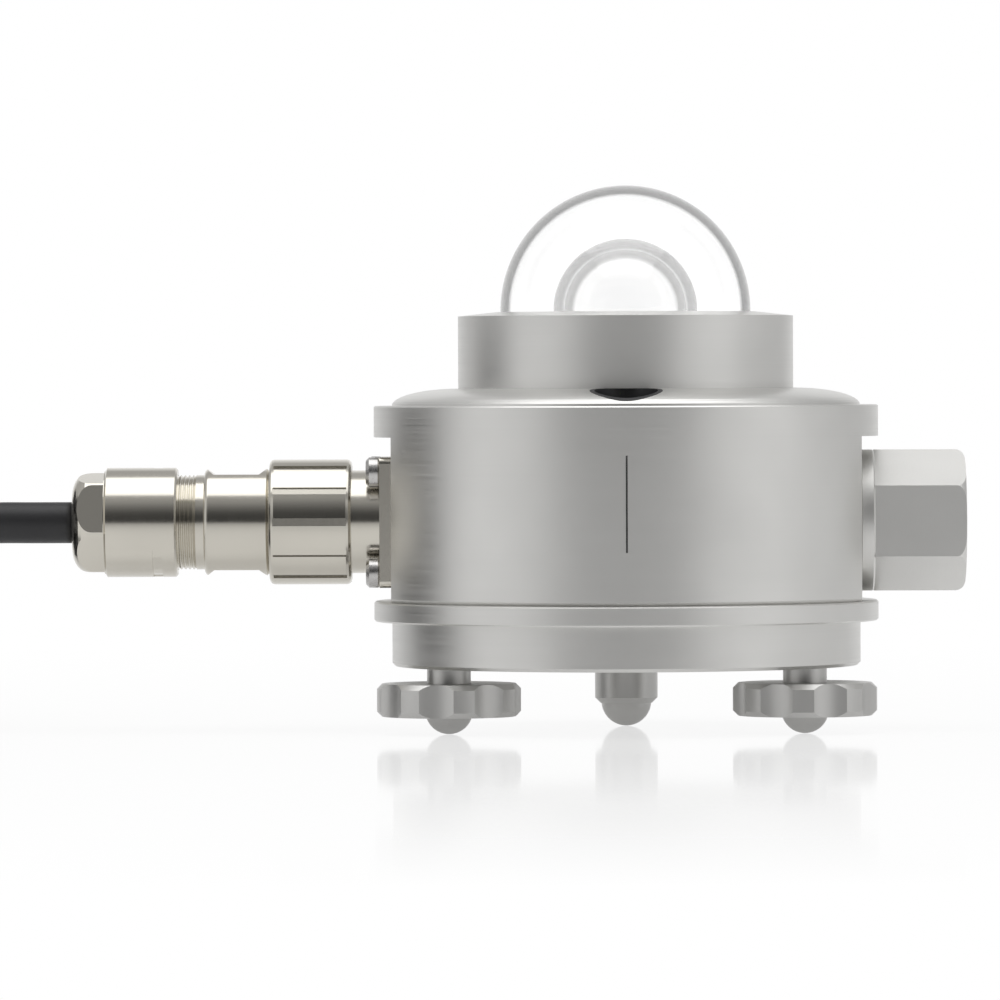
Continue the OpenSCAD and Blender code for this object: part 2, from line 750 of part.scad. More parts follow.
module level_glass() {
  color([0.8, 0.85, 0.85, 0.5])
    translate([0, -level_y, level_floor + level_cup_h])
    chamfered_disc(level_cup_d, level_glass_t, 0, bond_t);
}

module rear_foot() {
  color([0.72, 0.72, 0.71])
    translate([0, rear_foot_y, 0])
    union() {
      translate([0, 0, -fit]) cylinder(d = rear_stud_d, h = rear_stud_l + fit);
      rotate_extrude()
        polygon([
          [0, 0], [rear_foot_d / 2, 0], [rear_foot_d / 2, -rear_foot_l],
          [rear_foot_d / 2 - rear_chamfer, -rear_foot_l - rear_chamfer], [0, -rear_foot_l - rear_chamfer]
        ]);
      translate([0, 0, -stand_h + rear_ball_d / 2]) sphere(d = rear_ball_d);
    }
}

module at_board_posts() {
  for (x = [-1, 1], y = [-1, 1])
    translate([
      board_x + x * (board_size[0] / 2 - board_hole_inset),
      y * (board_size[1] / 2 - board_hole_inset), 0
    ]) children();
}

module terminal_board() {
  color([0.1, 0.4, 0.2])
  difference() {
    translate([board_x, 0, board_z + board_size[2] / 2]) cube(board_size, center = true);
    at_board_posts() translate([0, 0, board_z - cut]) cylinder(d = small_screw_d * 0.8, h = board_size[2] + cut * 2);
  }
}

module board_posts() {
  post_z = base_top + base_centre_h;
  color([0.8, 0.7, 0.4])
  at_board_posts() {
    translate([0, 0, post_z]) cylinder(d = post_d, h = board_z - post_z);
    translate([0, 0, board_z - fit]) cylinder(d = small_screw_d * 0.8 - fit * 2, h = board_size[2] + fit * 2);
    translate([0, 0, board_z + board_size[2]]) cylinder(d = post_d - fit * 8, h = small_head_h);
  }
}

// Place of a pin's wire among the others, counted from one side of the board to the other
function pin_y(k) = pin_circle_d / 2 * sin(pin_angles[k]);
function wire_rank(k) =
  len([for (j = [0 : pin_count - 1]) if (pin_y(j) < pin_y(k) - fit || (abs(pin_y(j) - pin_y(k)) <= fit && j < k)) j]);

// Wires from the sensor block down to the board, and from the board to the pins
module inner_wires() {
  wire_foot = board_z + board_size[2] + wire_d / 2;
  wire_top = block_bottom + block_tail / 2;
  pin_x = -flat_x + pin_tail + wire_d / 4;
  board_end = board_x - board_size[0] / 4;
  color([0.85, 0.2, 0.15]) {
    for (k = [-1, 1])
      tube(
        [
          for (s = [0 : 0.125 : 1])
            [board_x * (1 - s) * (1 - s), k * wire_pitch * (1 - s * 0.4), wire_foot + (wire_top - wire_foot) * s]
        ],
        wire_d / 2, 8, [0, 1, 0]
      );
    for (k = [0 : pin_count - 1]) {
      z = port_z + pin_circle_d / 2 * cos(pin_angles[k]);
      y_end = (wire_rank(k) - (pin_count - 1) / 2) * wire_pitch;
      tube(
        [
          for (s = [0 : 0.125 : 1])
            let (e = s * s * (3 - s * 2))
            [
              pin_x + (board_end - pin_x) * sin(s * 90),
              pin_y(k) + (y_end - pin_y(k)) * e,
              z + (wire_foot - z) * (1 - cos(s * 90))
            ]
        ],
        wire_d / 2, 8, [0, 1, 0]
      );
    }
  }
}

module at_flange_screws() {
  for (x = [-1, 1], y = [-1, 1])
    translate([x * flange_screw_spacing / 2, y * flange_screw_spacing / 2, 0]) children();
}

module socket_shell() {
  color([0.76, 0.74, 0.69])
  on_left()
    difference() {
      union() {
        linear_extrude(flange_t) round_rectangle(flange_w, flange_w, flange_r);
        chamfered_disc(socket_d, socket_l, 0, base_chamfer);
        translate([0, 0, -socket_tail_l + fit * 4]) cylinder(d = socket_tail_d, h = socket_tail_l);
      }
      translate([0, 0, insert_front]) cylinder(d = socket_bore_d, h = socket_l);
      translate([0, 0, -socket_tail_l - cut]) cylinder(d = socket_bore_d, h = socket_l);
      translate([0, 0, -seal_play * 2 - cut])
        washer(
          socket_tail_d / 2 + seal_d / 4, socket_tail_d / 2 + seal_d * 1.25 + seal_play * 2,
          cut, seal_d + seal_play * 4 + cut
        );
      at_flange_screws() translate([0, 0, -cut]) cylinder(d = flange_screw_d + fit * 4, h = flange_t + cut * 2);
    }
}

module socket_seal() {
  color([0.1, 0.1, 0.1])
    on_left() translate([0, 0, seal_d / 2 + seal_play]) seal_ring(socket_tail_d / 2 + seal_d * 0.75 + seal_play, seal_d);
}

module socket_screws() {
  color([0.78, 0.77, 0.74])
  on_left()
    at_flange_screws() {
      translate([0, 0, flange_t - flange_screw_l]) cylinder(d = flange_screw_d, h = flange_screw_l);
      translate([0, 0, flange_t]) chamfered_disc(flange_head_d, flange_head_h, base_chamfer / 2, base_chamfer);
    }
}

module at_pins() {
  children();
  for (a = pin_angles) rotate([0, 0, a]) translate([-pin_circle_d / 2, 0, 0]) children();
}

module socket_insert() {
  color([0.12, 0.12, 0.13])
  on_left()
    difference() {
      translate([0, 0, -socket_tail_l + cut]) cylinder(d = socket_bore_d - fit * 2, h = socket_tail_l + insert_front - cut);
      translate([0, 0, -socket_tail_l - cut]) at_pins() cylinder(d = pin_d + fit * 2, h = socket_l * 2);
    }
}

module socket_pins() {
  color([0.85, 0.7, 0.3])
  on_left()
    at_pins() translate([0, 0, -pin_tail]) chamfered_disc(pin_d, pin_tail + insert_front + pin_reach, 0, pin_d / 4);
}

// One levelling screw: plain shank with a ball end
module foot_screw() {
  ball_z = -stand_h + foot_ball_d / 2;
  rotate_extrude()
    polygon([
      [0, ball_z], [foot_ball_d / 2, ball_z], [foot_ball_d / 2, ball_z + bond_t],
      [foot_screw_d / 2, ball_z + bond_t], [foot_screw_d / 2, foot_screw_grip - base_chamfer],
      [foot_screw_d / 2 - base_chamfer, foot_screw_grip], [0, foot_screw_grip]
    ]);
  translate([0, 0, ball_z])
    intersection() {
      sphere(d = foot_ball_d);
      translate([0, 0, -foot_ball_d]) cylinder(d = foot_ball_d * 2, h = foot_ball_d);
    }
}

// One hand wheel with hollows between its lobes
module foot_wheel(phase) {
  ball_z = -stand_h + foot_ball_d / 2;
  difference() {
    translate([0, 0, -wheel_gap - wheel_t]) chamfered_disc(wheel_d, wheel_t, wheel_chamfer, wheel_chamfer);
    for (k = [0 : wheel_lobes - 1])
      rotate([0, 0, phase + 360 * k / wheel_lobes])
        translate([wheel_d / 2 - wheel_hollow + wheel_hollow_r, 0, -wheel_gap - wheel_t - cut])
        cylinder(r = wheel_hollow_r, h = wheel_t + cut * 2);
    translate([0, 0, -wheel_gap - wheel_t - cut]) cylinder(d = foot_screw_d + fit * 2, h = wheel_t + cut * 2);
    translate([0, 0, -wheel_gap - wheel_t - cut])
      cylinder(d = foot_ball_d + fit * 4, h = ball_z + bond_t + fit * 2 + wheel_gap + wheel_t + cut);
  }
}

module left_foot_screw() {
  color([0.62, 0.62, 0.6]) translate([-foot_x, -foot_y, 0]) foot_screw();
}

module right_foot_screw() {
  color([0.62, 0.62, 0.6]) translate([foot_x, -foot_y, 0]) foot_screw();
}

module left_foot_wheel() {
  color([0.72, 0.72, 0.71]) translate([-foot_x, -foot_y, 0]) foot_wheel(left_wheel_phase);
}

module right_foot_wheel() {
  color([0.72, 0.72, 0.71]) translate([foot_x, -foot_y, 0]) foot_wheel(right_wheel_phase);
}

module cartridge_seal() {
  color([0.1, 0.1, 0.1])
    on_right() translate([0, 0, seal_d / 2 + seal_play]) seal_ring(cartridge_seal_r, seal_d - seal_play * 2);
}

module cartridge_cap() {
  color([0.78, 0.78, 0.77])
  on_right()
    difference() {
      union() {
        chamfered_disc(cap_ac, collar_t, base_chamfer / 2, base_chamfer / 2);
        intersection() {
          translate([0, 0, collar_t - fit]) cylinder(d = cap_ac, h = cap_l - collar_t + fit, $fn = 6);
          rotate_extrude()
            polygon([
              [0, 0], [cap_ac / 2 + cut, 0], [cap_ac / 2 + cut, cap_l - cap_end_r],
              for (a = [0 : 15 : 90])
                [cap_ac / 2 - cap_end_r + cap_end_r * cos(a), cap_l - cap_end_r + cap_end_r * sin(a)],
              [0, cap_l]
            ]);
        }
        translate([0, 0, -cap_thread_l]) chamfered_disc(cap_thread_d, cap_thread_l + fit, base_chamfer, 0);
      }
      translate([0, 0, cap_l - window_depth]) cylinder(d = window_d + fit * 2, h = window_depth + cut);
      translate([0, 0, collar_t]) cylinder(d = window_d - window_t * 2, h = cap_l);
      translate([0, 0, -cap_thread_l - cut]) cylinder(d = cap_bore_d, h = cap_thread_l + collar_t + cut * 2);
      washer(
        cartridge_seal_r - seal_d / 2 - seal_play, cartridge_seal_r + seal_d / 2 + seal_play,
        -cut, seal_d + seal_play * 2
      );
    }
}

module cartridge_cage() {
  cage_end = cap_thread_l + cage_l;
  slot_w = cage_d * 0.2;
  slot_l = cage_l - cage_t * 4;
  color([0.9, 0.9, 0.88])
  on_right()
    difference() {
      translate([0, 0, -cage_end]) chamfered_disc(cage_d, cage_l + cage_grip, bond_t, 0);
      translate([0, 0, -cage_end + cage_t]) cylinder(d = cage_d - cage_t * 2, h = cage_end);
      for (k = [0 : cage_slots / 2 - 1])
        rotate([0, 0, 180 * k / (cage_slots / 2)])
          translate([-cage_d, -slot_w / 2, -cage_end + cage_t * 2]) cube([cage_d * 2, slot_w, slot_l]);
    }
}

module drying_beads() {
  cage_end = cap_thread_l + cage_l;
  ring_r = bead_d * bead_ring_share;
  color([0.9, 0.55, 0.2])
  on_right()
    for (i = [0 : bead_layers - 1])
      translate([0, 0, -cage_end + cage_t + fit + bead_d / 2 + i * bead_d * bead_step_share]) {
        sphere(d = bead_d, $fn = 24);
        for (k = [0 : 5]) rotate([0, 0, k * 60 + i * 30]) translate([ring_r, 0, 0]) sphere(d = bead_d, $fn = 24);
      }
}

module cap_window() {
  color([0.8, 0.85, 0.85, 0.5])
    on_right() translate([0, 0, cap_l - window_t]) chamfered_disc(window_d, window_t, 0, bond_t / 2);
}

module humidity_disc() {
  color([0.3, 0.5, 0.8])
    on_right() translate([0, 0, cap_l - window_depth]) cylinder(d = window_d, h = window_depth - window_t);
}

// Body of the plug: sleeve, barrel with two spanner flats, and the clamp thread
module plug_barrel() {
  collar_share = 0.3;
  crest = clamp_thread_d / 2;
  root = crest - clamp_pitch * 0.4;
  flat_depth = (barrel_d - barrel_af) / 2;
  flat_l = barrel_l * 0.7;
  color([0.76, 0.74, 0.69])
  on_left()
    difference() {
      union() {
        translate([0, 0, sleeve_u]) chamfered_disc(sleeve_d, barrel_u - sleeve_u + fit, bond_t, 0);
        rotate_extrude()
          polygon([
            [0, barrel_u], [barrel_d / 2 - bond_t, barrel_u], [barrel_d / 2, barrel_u + bond_t],
            for (a = [0 : 15 : 90])
              [barrel_d / 2 - barrel_end_r * (1 - cos(a)), barrel_end - barrel_end_r * (1 - sin(a))],
            [0, barrel_end]
          ]);
        rotate_extrude()
          polygon([
            [0, barrel_end - fit], [crest, barrel_end - fit], [crest, barrel_end + clamp_thread_l * collar_share],
            for (k = [0 : floor(clamp_thread_l * 4 / clamp_pitch)])
              each let (u = barrel_end + clamp_thread_l * (collar_share + 0.04) + k * clamp_pitch)
              u + clamp_pitch < thread_tail_u
                ? [[root, u], [crest, u + clamp_pitch * 0.4], [crest, u + clamp_pitch * 0.5], [root, u + clamp_pitch * 0.9]]
                : [],
            [root, thread_tail_u], [0, thread_tail_u]
          ]);
      }
      for (side = [-1, 1])
        translate([side * (barrel_af / 2 + flat_depth), 0, barrel_u + barrel_l * 0.5])
          rotate([90, 0, 0])
          linear_extrude(barrel_d, center = true)
          polygon([
            [-side * flat_depth, -flat_l / 2], [side * cut, -flat_l / 2 - flat_depth * 2],
            [side * cut, flat_l / 2 + flat_depth * 2], [-side * flat_depth, flat_l / 2]
          ]);
      translate([0, 0, sleeve_u - cut]) cylinder(d = plug_bore_d, h = thread_tail_u - sleeve_u + cut * 2);
    }
}

module plug_insert() {
  front = insert_front + fit * 4;
  color([0.12, 0.12, 0.13])
  on_left()
    difference() {
      union() {
        translate([0, 0, front]) cylinder(d = plug_bore_d - fit * 2, h = cable_start_u - front - fit * 2);
        translate([0, 0, front]) chamfered_disc(socket_bore_d - fit * 4, sleeve_u - front - fit * 2, bond_t, 0);
      }
      translate([0, 0, front - cut]) at_pins() cylinder(d = pin_d + fit * 4, h = pin_reach + cut * 2);
    }
}

module ring_clip() {
  color([0.7, 0.7, 0.7])
  on_left()
    washer(
      sleeve_d / 2 + fit / 2, sleeve_d / 2 + cable_d / 8,
      coupling_end - web_t - bond_t - base_chamfer, coupling_end - web_t - bond_t
    );
}

// Ring with closed grooves around it and rounded edges; it screws onto the socket
module coupling_ring() {
  edge = coupling_edge_r;
  groove_l = coupling_l - groove_margin * 2;
  color([0.77, 0.75, 0.7])
  on_left()
    translate([0, 0, coupling_u])
    difference() {
      rotate_extrude()
        polygon([
          [0, 0], [coupling_d / 2 - edge, 0],
          for (a = [-60 : 30 : 0]) [coupling_d / 2 - edge + edge * cos(a), edge + edge * sin(a)],
          for (a = [0 : 30 : 60]) [coupling_d / 2 - edge + edge * cos(a), coupling_l - edge + edge * sin(a)],
          [coupling_d / 2 - edge, coupling_l], [0, coupling_l]
        ]);
      translate([0, 0, -cut]) cylinder(d = socket_d + fit * 2, h = coupling_l - web_t + cut);
      translate([0, 0, -cut]) cylinder(d = sleeve_d + fit * 2, h = coupling_l + cut * 2);
      for (k = [0 : groove_count - 1])
        rotate([0, 0, 360 * (k + 0.02) / groove_count])
          translate([coupling_d / 2 - groove_depth, -groove_w / 2, groove_margin])
          cube([groove_depth + cut, groove_w, groove_l]);
    }
}

function mark_point(r, angle) = [r * cos(angle), r * sin(angle)];

module clamp_nut() {
  nose_r = clamp_nose_d / 2;
  color([0.76, 0.74, 0.69])
  on_left()
    difference() {
      rotate_extrude()
        polygon([
          [0, nut_u], [clamp_nut_d / 2 - bond_t, nut_u], [clamp_nut_d / 2, nut_u + bond_t],
          [clamp_nut_d / 2, nut_shoulder - bond_t], [nose_r, nut_shoulder],
          for (a = [0 : 10 : 90])
            [nose_r - clamp_nose_r + clamp_nose_r * cos(a), plug_end - clamp_nose_r + clamp_nose_r * sin(a)],
          [0, plug_end]
        ]);
      for (k = [0 : 5])
        rotate([0, 0, nose_turn + k * 60])
          translate([clamp_nose_af / 2, -nose_r, nut_shoulder + fit * 2])
          cube([nose_r, nose_r * 2, clamp_nose_l + cut]);
      for (side = [0, 180])
        translate([0, 0, nut_u + clamp_nut_l * mark_share])
          linear_extrude(mark_w)
          polygon([
            for (k = [0 : mark_steps]) mark_point(clamp_nut_d / 2 - mark_depth, side + mark_from + mark_step * k),
            for (k = [mark_steps : -1 : 0]) mark_point(clamp_nut_d / 2 + cut, side + mark_from + mark_step * k)
          ]);
      translate([0, 0, nut_u - cut]) cylinder(d = nut_bore_d, h = nut_wall_end - nut_u + cut);
      translate([0, 0, nut_u]) cylinder(d = cable_d + fit * 6, h = plug_end);
    }
}

module gland_seal() {
  color([0.12, 0.12, 0.12])
    on_left() washer(cable_d / 2 + fit, nut_bore_d / 2 - fit * 4, seal_u, seal_u + gland_seal_l);
}

module clamp_cage() {
  cage_len = nut_wall_end - cage_u - fit;
  color([0.75, 0.75, 0.74])
  on_left()
    difference() {
      washer(cable_d / 2 + fit, nut_bore_d / 2 - fit * 4, cage_u, cage_u + cage_len);
      for (k = [0 : 3])
        rotate([0, 0, k * 45])
          translate([-clamp_nut_d / 2, -slit / 2, cage_u + cage_len * 0.3]) cube([clamp_nut_d, slit, cage_len]);
    }
}

module cable_entry() {
  color([0.2, 0.2, 0.21])
    on_left() translate([0, 0, cable_start_u]) cylinder(d = cable_d, h = plug_end - cable_start_u);
}

module cable_run() {
  color([0.2, 0.2, 0.21]) tube(cable_route, cable_d / 2, 12);
}

// Place on the coil's centreline after the angle a: it spirals in, climbs a layer, spirals out, and so on
function coil_place(a) =
  let (
    layer = min(coil_layers - 1, floor(a / block_angle)),
    along = a - layer * block_angle,
    inward = layer % 2 == 0,
    c = max(0, (along - layer_angle) / climb_angle),
    drift = turn_step * min(along, layer_angle) / 360,
    bulge = turn_step / 2 * c * (1 - c),
    r = inward ? coil_out - drift - bulge : coil_in + drift + bulge,
    z = lowest_z + (layer + c * c * (3 - c * 2)) * turn_step,
    angle = coil_start - a
  )
  [coil_x + r * cos(angle), coil_y + r * sin(angle), z];

coil_line = [for (a = [0 : coil_step : coil_angle]) coil_place(a)];
coil_tip = coil_line[len(coil_line) - 1];
coil_heading_out = unit([sin(coil_start - coil_angle), -cos(coil_start - coil_angle), 0]);
coil_path = [
  coil_line[0] + [cable_d, 0, 0],
  each coil_line,
  coil_tip + coil_heading_out * cable_d
];

// Least distance between two stretches of the coil, less its diameter
function to_segment(p, a, b) =
  let (ab = b - a, s = max(0, min(1, ((p - a) * ab) / (ab * ab))))
  norm(p - a - ab * s);
function coil_gap() =
  min([
    for (i = [0 : 2 : len(coil_line) - 14])
      min([for (j = [i + 12 : len(coil_line) - 2]) to_segment(coil_line[i], coil_line[j], coil_line[j + 1])])
  ]) - cable_d;
function path_length(p) = len(p) < 2 ? 0 : [for (i = [1 : len(p) - 1]) norm(p[i] - p[i - 1])] * [for (i = [1 : len(p) - 1]) 1];

module cable_coil() {
  echo(coil_gap = coil_gap(), coil_length = path_length(coil_path), run_length = path_length(cable_route));
  color([0.2, 0.2, 0.21]) tube(coil_path, cable_d / 2, 6);
}

// Flat bands around the bundle of turns
module coil_ties() {
  inner_r = coil_in - turn_step / 8 - cable_d / 2 - tie_play * 3;
  outer_r = coil_out + turn_step / 8 + cable_d / 2 + tie_play * 3;
  band_w = outer_r - inner_r;
  band_h = turn_step * (coil_layers - 1) + cable_d + tie_play * 3;
  corner = cable_d / 4;
  color([0.08, 0.08, 0.09])
  for (a = tie_angles)
    translate([coil_x, coil_y, -stand_h + tie_t + band_h / 2])
      rotate([0, 0, a])
      translate([(inner_r + outer_r) / 2, 0, 0])
      rotate([90, 0, 0])
      linear_extrude(tie_w, center = true)
      difference() {
        round_rectangle(band_w + tie_t * 2, band_h + tie_t * 2, corner + tie_t);
        round_rectangle(band_w, band_h, corner);
      }
}

// Bare leads that leave the cable's end as a loose bundle and lie in the coil's outer groove
module cable_leads() {
  lead_count = 7;
  pattern_share = 0.27;
  sink_share = 0.14;
  inset_share = 0.08;
  twist = 40;
  end_point = coil_tip + coil_heading_out * cable_d;
  end_r = norm([end_point[0] - coil_x, end_point[1] - coil_y]);
  end_angle = atan2(end_point[1] - coil_y, end_point[0] - coil_x);
  out = unit([coil_tip[0] - coil_x, coil_tip[1] - coil_y, 0]);
  color([0.8, 0.7, 0.3])
  for (k = [0 : lead_count - 1]) {
    spread = k == 0 ? 0 : cable_d * pattern_share;
    first = end_point + out * spread * cos(k * 60) + [0, 0, spread * sin(k * 60)];
    tube(
      [
        first,
        first + coil_heading_out * lead_d,
        for (s = [0.1 : 0.1 : 1])
          let (
            e = min(1, s / 0.6),
            blend = e * e * (3 - e * 2),
            r = end_r * (1 - blend) + (coil_out - turn_step * inset_share) * blend,
            lift = end_point[2] - turn_step * sink_share * blend,
            turn = k * 60 + twist * s,
            angle = end_angle - s * lead_l * (1 - k % 3 * 0.06) / coil_out * 180 / PI,
            side = r + spread * cos(turn)
          )
          [coil_x + side * cos(angle), coil_y + side * sin(angle), lift + spread * sin(turn)]
      ],
      lead_d / 2, 8
    );
  }
}

base_plate();
base_seal();
base_screws();
housing();
housing_seal();
dome_ring();
dome_ring_screws();
outer_dome();
outer_dome_bond();
inner_dome();
inner_dome_bond();
sensor_block();
sensor_block_screws();
thermopile();
absorber_disc();
heater_band();
temperature_probe();
level_cup();
level_liquid();
level_glass();
rear_foot();
terminal_board();
board_posts();
inner_wires();
socket_shell();
socket_seal();
socket_screws();
socket_insert();
socket_pins();
left_foot_screw();
left_foot_wheel();
right_foot_screw();
right_foot_wheel();
cartridge_seal();
cartridge_cap();
cartridge_cage();
drying_beads();
cap_window();
humidity_disc();
plug_barrel();
plug_insert();
ring_clip();
coupling_ring();
clamp_nut();
gland_seal();
clamp_cage();
cable_entry();
cable_run();
cable_coil();
coil_ties();
cable_leads();
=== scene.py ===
import math

import bmesh
import bpy
import numpy as np
from mathutils import Matrix, Vector


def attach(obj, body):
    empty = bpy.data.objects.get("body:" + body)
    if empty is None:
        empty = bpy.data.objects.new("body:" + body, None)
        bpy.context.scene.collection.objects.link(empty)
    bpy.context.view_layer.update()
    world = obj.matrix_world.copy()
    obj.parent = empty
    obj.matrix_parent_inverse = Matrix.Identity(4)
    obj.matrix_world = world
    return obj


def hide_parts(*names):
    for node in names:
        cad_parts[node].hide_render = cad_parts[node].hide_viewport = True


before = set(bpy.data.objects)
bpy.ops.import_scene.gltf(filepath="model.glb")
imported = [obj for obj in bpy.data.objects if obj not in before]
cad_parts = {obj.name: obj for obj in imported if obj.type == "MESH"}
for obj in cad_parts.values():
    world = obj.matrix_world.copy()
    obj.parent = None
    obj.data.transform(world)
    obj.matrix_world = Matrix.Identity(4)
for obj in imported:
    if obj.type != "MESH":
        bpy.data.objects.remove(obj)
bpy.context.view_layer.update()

scene = bpy.context.scene
print("frame loaded:", len(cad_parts), "nodes")

# The photograph was taken from far in front, a little above the housing
view = {
    "place": (-0.00415, -1.380, 0.04573),
    "aim": (-0.0196, 0.0, 0.0257),
    "lens": 319.4,
    "roll": -0.2,
}

cameraData = bpy.data.cameras.new("camera")
cameraData.sensor_fit = "HORIZONTAL"
cameraData.sensor_width = 36
cameraData.lens = view["lens"]
cameraData.clip_end = 50
camera = bpy.data.objects.new("camera", cameraData)
scene.collection.objects.link(camera)
lookAlong = Vector(view["aim"]) - Vector(view["place"])
turn = lookAlong.to_track_quat("-Z", "Y").to_matrix().to_4x4()
camera.matrix_world = (
    Matrix.Translation(view["place"]) @ turn @ Matrix.Rotation(math.radians(view["roll"]), 4, "Z")
)
scene.camera = camera
print("camera placed")


# A mesh from points and faces, linked into the scene
def makeMesh(name, points, faces, smooth=True):
    mesh = bpy.data.meshes.new(name)
    mesh.from_pydata(np.asarray(points, float).reshape(-1, 3).tolist(), [], [list(f) for f in faces])
    mesh.update()
    mesh.polygons.foreach_set("use_smooth", np.full(len(mesh.polygons), smooth))
    piece = bpy.data.objects.new(name, mesh)
    scene.collection.objects.link(piece)
    return piece


# Faces of a grid of rows by columns of points. The last column joins the first, and the last row
# joins the first row where the rows are closed.
def gridFaces(rows, columns, closedRows=False):
    i = np.arange(rows if closedRows else rows - 1)[:, None]
    j = np.arange(columns)[None, :]
    a = i * columns + j
    b = i * columns + (j + 1) % columns
    c = (i + 1) % rows * columns + (j + 1) % columns
    d = (i + 1) % rows * columns + j
    return np.stack([a, b, c, d], -1).reshape(-1, 4)


# A line through the points. Between two of them the place is half of 2 p1 + (p2 - p0) t
# + (2 p0 - 5 p1 + 4 p2 - p3) t^2 + (3 p1 - p0 - 3 p2 + p3) t^3, where t goes from 0 to 1.
def throughPoints(points, perSpan):
    p = np.asarray(points, float)
    p = np.vstack([2 * p[0] - p[1], p, 2 * p[-1] - p[-2]])
    t = np.linspace(0, 1, perSpan, endpoint=False)[None, :, None]
    p0, p1, p2, p3 = (p[k:len(p) - 3 + k, None, :] for k in range(4))
    spans = 0.5 * (
        2 * p1 + (p2 - p0) * t + (2 * p0 - 5 * p1 + 4 * p2 - p3) * t**2
        + (3 * p1 - p0 - 3 * p2 + p3) * t**3
    )
    return np.vstack([spans.reshape(-1, 3), p[-2]])


# Two directions at each point of a line: to its side, which is square to the line and to the
# upward direction given, and upwards from it, which is square to the line and to the side
def lineFrames(path, up=(0, 0, 1)):
    along = np.gradient(path, axis=0)
    along /= np.linalg.norm(along, axis=1, keepdims=True)
    side = np.cross(along, np.asarray(up, float))
    side /= np.linalg.norm(side, axis=1, keepdims=True)
    return side, np.cross(side, along)


# A section carried along a line: each point is the line's point plus the section's first number
# to the side and its second upwards. A face closes each end.
def sweep(name, path, section, up=(0, 0, 1)):
    path = np.asarray(path, float)
    side, above = lineFrames(path, up)
    sideways = side[:, None, :] * section[None, :, :1]
    points = path[:, None, :] + sideways + above[:, None, :] * section[None, :, 1:]
    rows, columns = points.shape[:2]
    faces = [list(f[::-1]) for f in gridFaces(rows, columns)]
    faces.append(list(range(columns)))
    faces.append([(rows - 1) * columns + k for k in range(columns)][::-1])
    piece = makeMesh(name, points, faces)
    addLineUv(piece, path, rows, columns)
    return piece


# The piece's own UV map: u is the length along the line in metres, v the share of the way round,
# and both are 0 on the two end faces
def addLineUv(piece, path, rows, columns):
    step = np.linalg.norm(np.diff(path, axis=0), axis=1)
    length = np.concatenate([[0], np.cumsum(step)])
    i = np.arange(rows - 1)[:, None] * np.ones(columns, int)[None, :]
    j = np.ones(rows - 1, int)[:, None] * np.arange(columns)[None, :]
    u = np.stack([length[i], length[i], length[i + 1], length[i + 1]], -1)
    v = np.stack([j, j + 1, j + 1, j], -1) / columns
    uv = np.stack([u, v], -1).reshape(-1, 4, 2)[:, ::-1].reshape(-1, 2)
    uv = np.vstack([uv, np.zeros((columns * 2, 2))])
    layer = piece.data.uv_layers.new(name="along")
    layer.data.foreach_set("uv", uv.ravel())


# A circle's section: radius times the cosine and the sine of equal steps
def roundSection(radius, sides):
    turnBy = np.arange(sides) * 2 * math.pi / sides
    return np.stack([np.cos(turnBy), np.sin(turnBy)], -1) * radius


# A rectangle with round corners, walked round once: every corner is a quarter circle
def roundedSection(width, height, radius, perCorner):
    turnBy = (np.arange(perCorner) / (perCorner - 1) * 0.5 + np.arange(4)[:, None] * 0.5) * math.pi
    centre = np.array([[1, 1], [-1, 1], [-1, -1], [1, -1]]) * [width / 2 - radius, height / 2 - radius]
    arc = np.stack([np.cos(turnBy), np.sin(turnBy)], -1) * radius
    return (arc + centre[:, None, :]).reshape(-1, 2)


# Points that lie together become one, which closes seams and poles, and the faces are turned
# outwards: a closed mesh whose volume comes out negative has all its faces turned round
def closeMesh(piece, distance=1e-7):
    form = bmesh.new()
    form.from_mesh(piece.data)
    bmesh.ops.remove_doubles(form, verts=form.verts, dist=distance)
    bmesh.ops.dissolve_degenerate(form, edges=form.edges, dist=distance)
    if form.calc_volume(signed=True) < 0:
        bmesh.ops.reverse_faces(form, faces=form.faces)
    form.to_mesh(piece.data)
    form.free()
    return piece


# A profile turned round the upright axis. The profile's points are (radius, height), and each is
# carried round in equal steps: radius times cosine and sine, at the same height.
def turned(name, profile, segments):
    a = np.arange(segments) * 2 * math.pi / segments
    radius, height = profile[:, 0][:, None], profile[:, 1][:, None] * np.ones(segments)
    points = np.stack([radius * np.cos(a), radius * np.sin(a), height], -1)
    return closeMesh(makeMesh(name, points, gridFaces(*points.shape[:2])))


# The points of the cable's free stretch are those of the part's source, in metres
cable = {
    "diameter": 0.0064,
    "plugEnd": (-0.08605, 0, 0.0224),
    "route": [
        (-0.0920, 0, 0.0224), (-0.0980, 0, 0.0224), (-0.1023, -0.0003, 0.0221), (-0.1065, -0.0012, 0.0212),
        (-0.1106, -0.0026, 0.0197), (-0.1144, -0.0041, 0.0177), (-0.1179, -0.0056, 0.0152),
        (-0.1212, -0.0071, 0.0119), (-0.1240, -0.0084, 0.0082), (-0.1268, -0.0097, 0.0045),
        (-0.1301, -0.0112, 0.0012), (-0.1336, -0.0125, -0.0013), (-0.1374, -0.0137, -0.0033),
        (-0.1415, -0.0146, -0.0048), (-0.1457, -0.0150, -0.0057), (-0.1496, -0.0150, -0.00597),
    ],
    "coilMiddle": (-0.160, 0.027075),
    "coilOut": 0.042075,
    "coilIn": 0.024325,
    "turnStep": 0.0071,
    "layers": 8,
    "turnsPerLayer": 2.5,
    "lowest": -0.00597,
    "sides": 20,
    "degreesPerRing": 6,
    "pointsPerSpan": 5,
    "start": -90,
    "climb": 180,
}


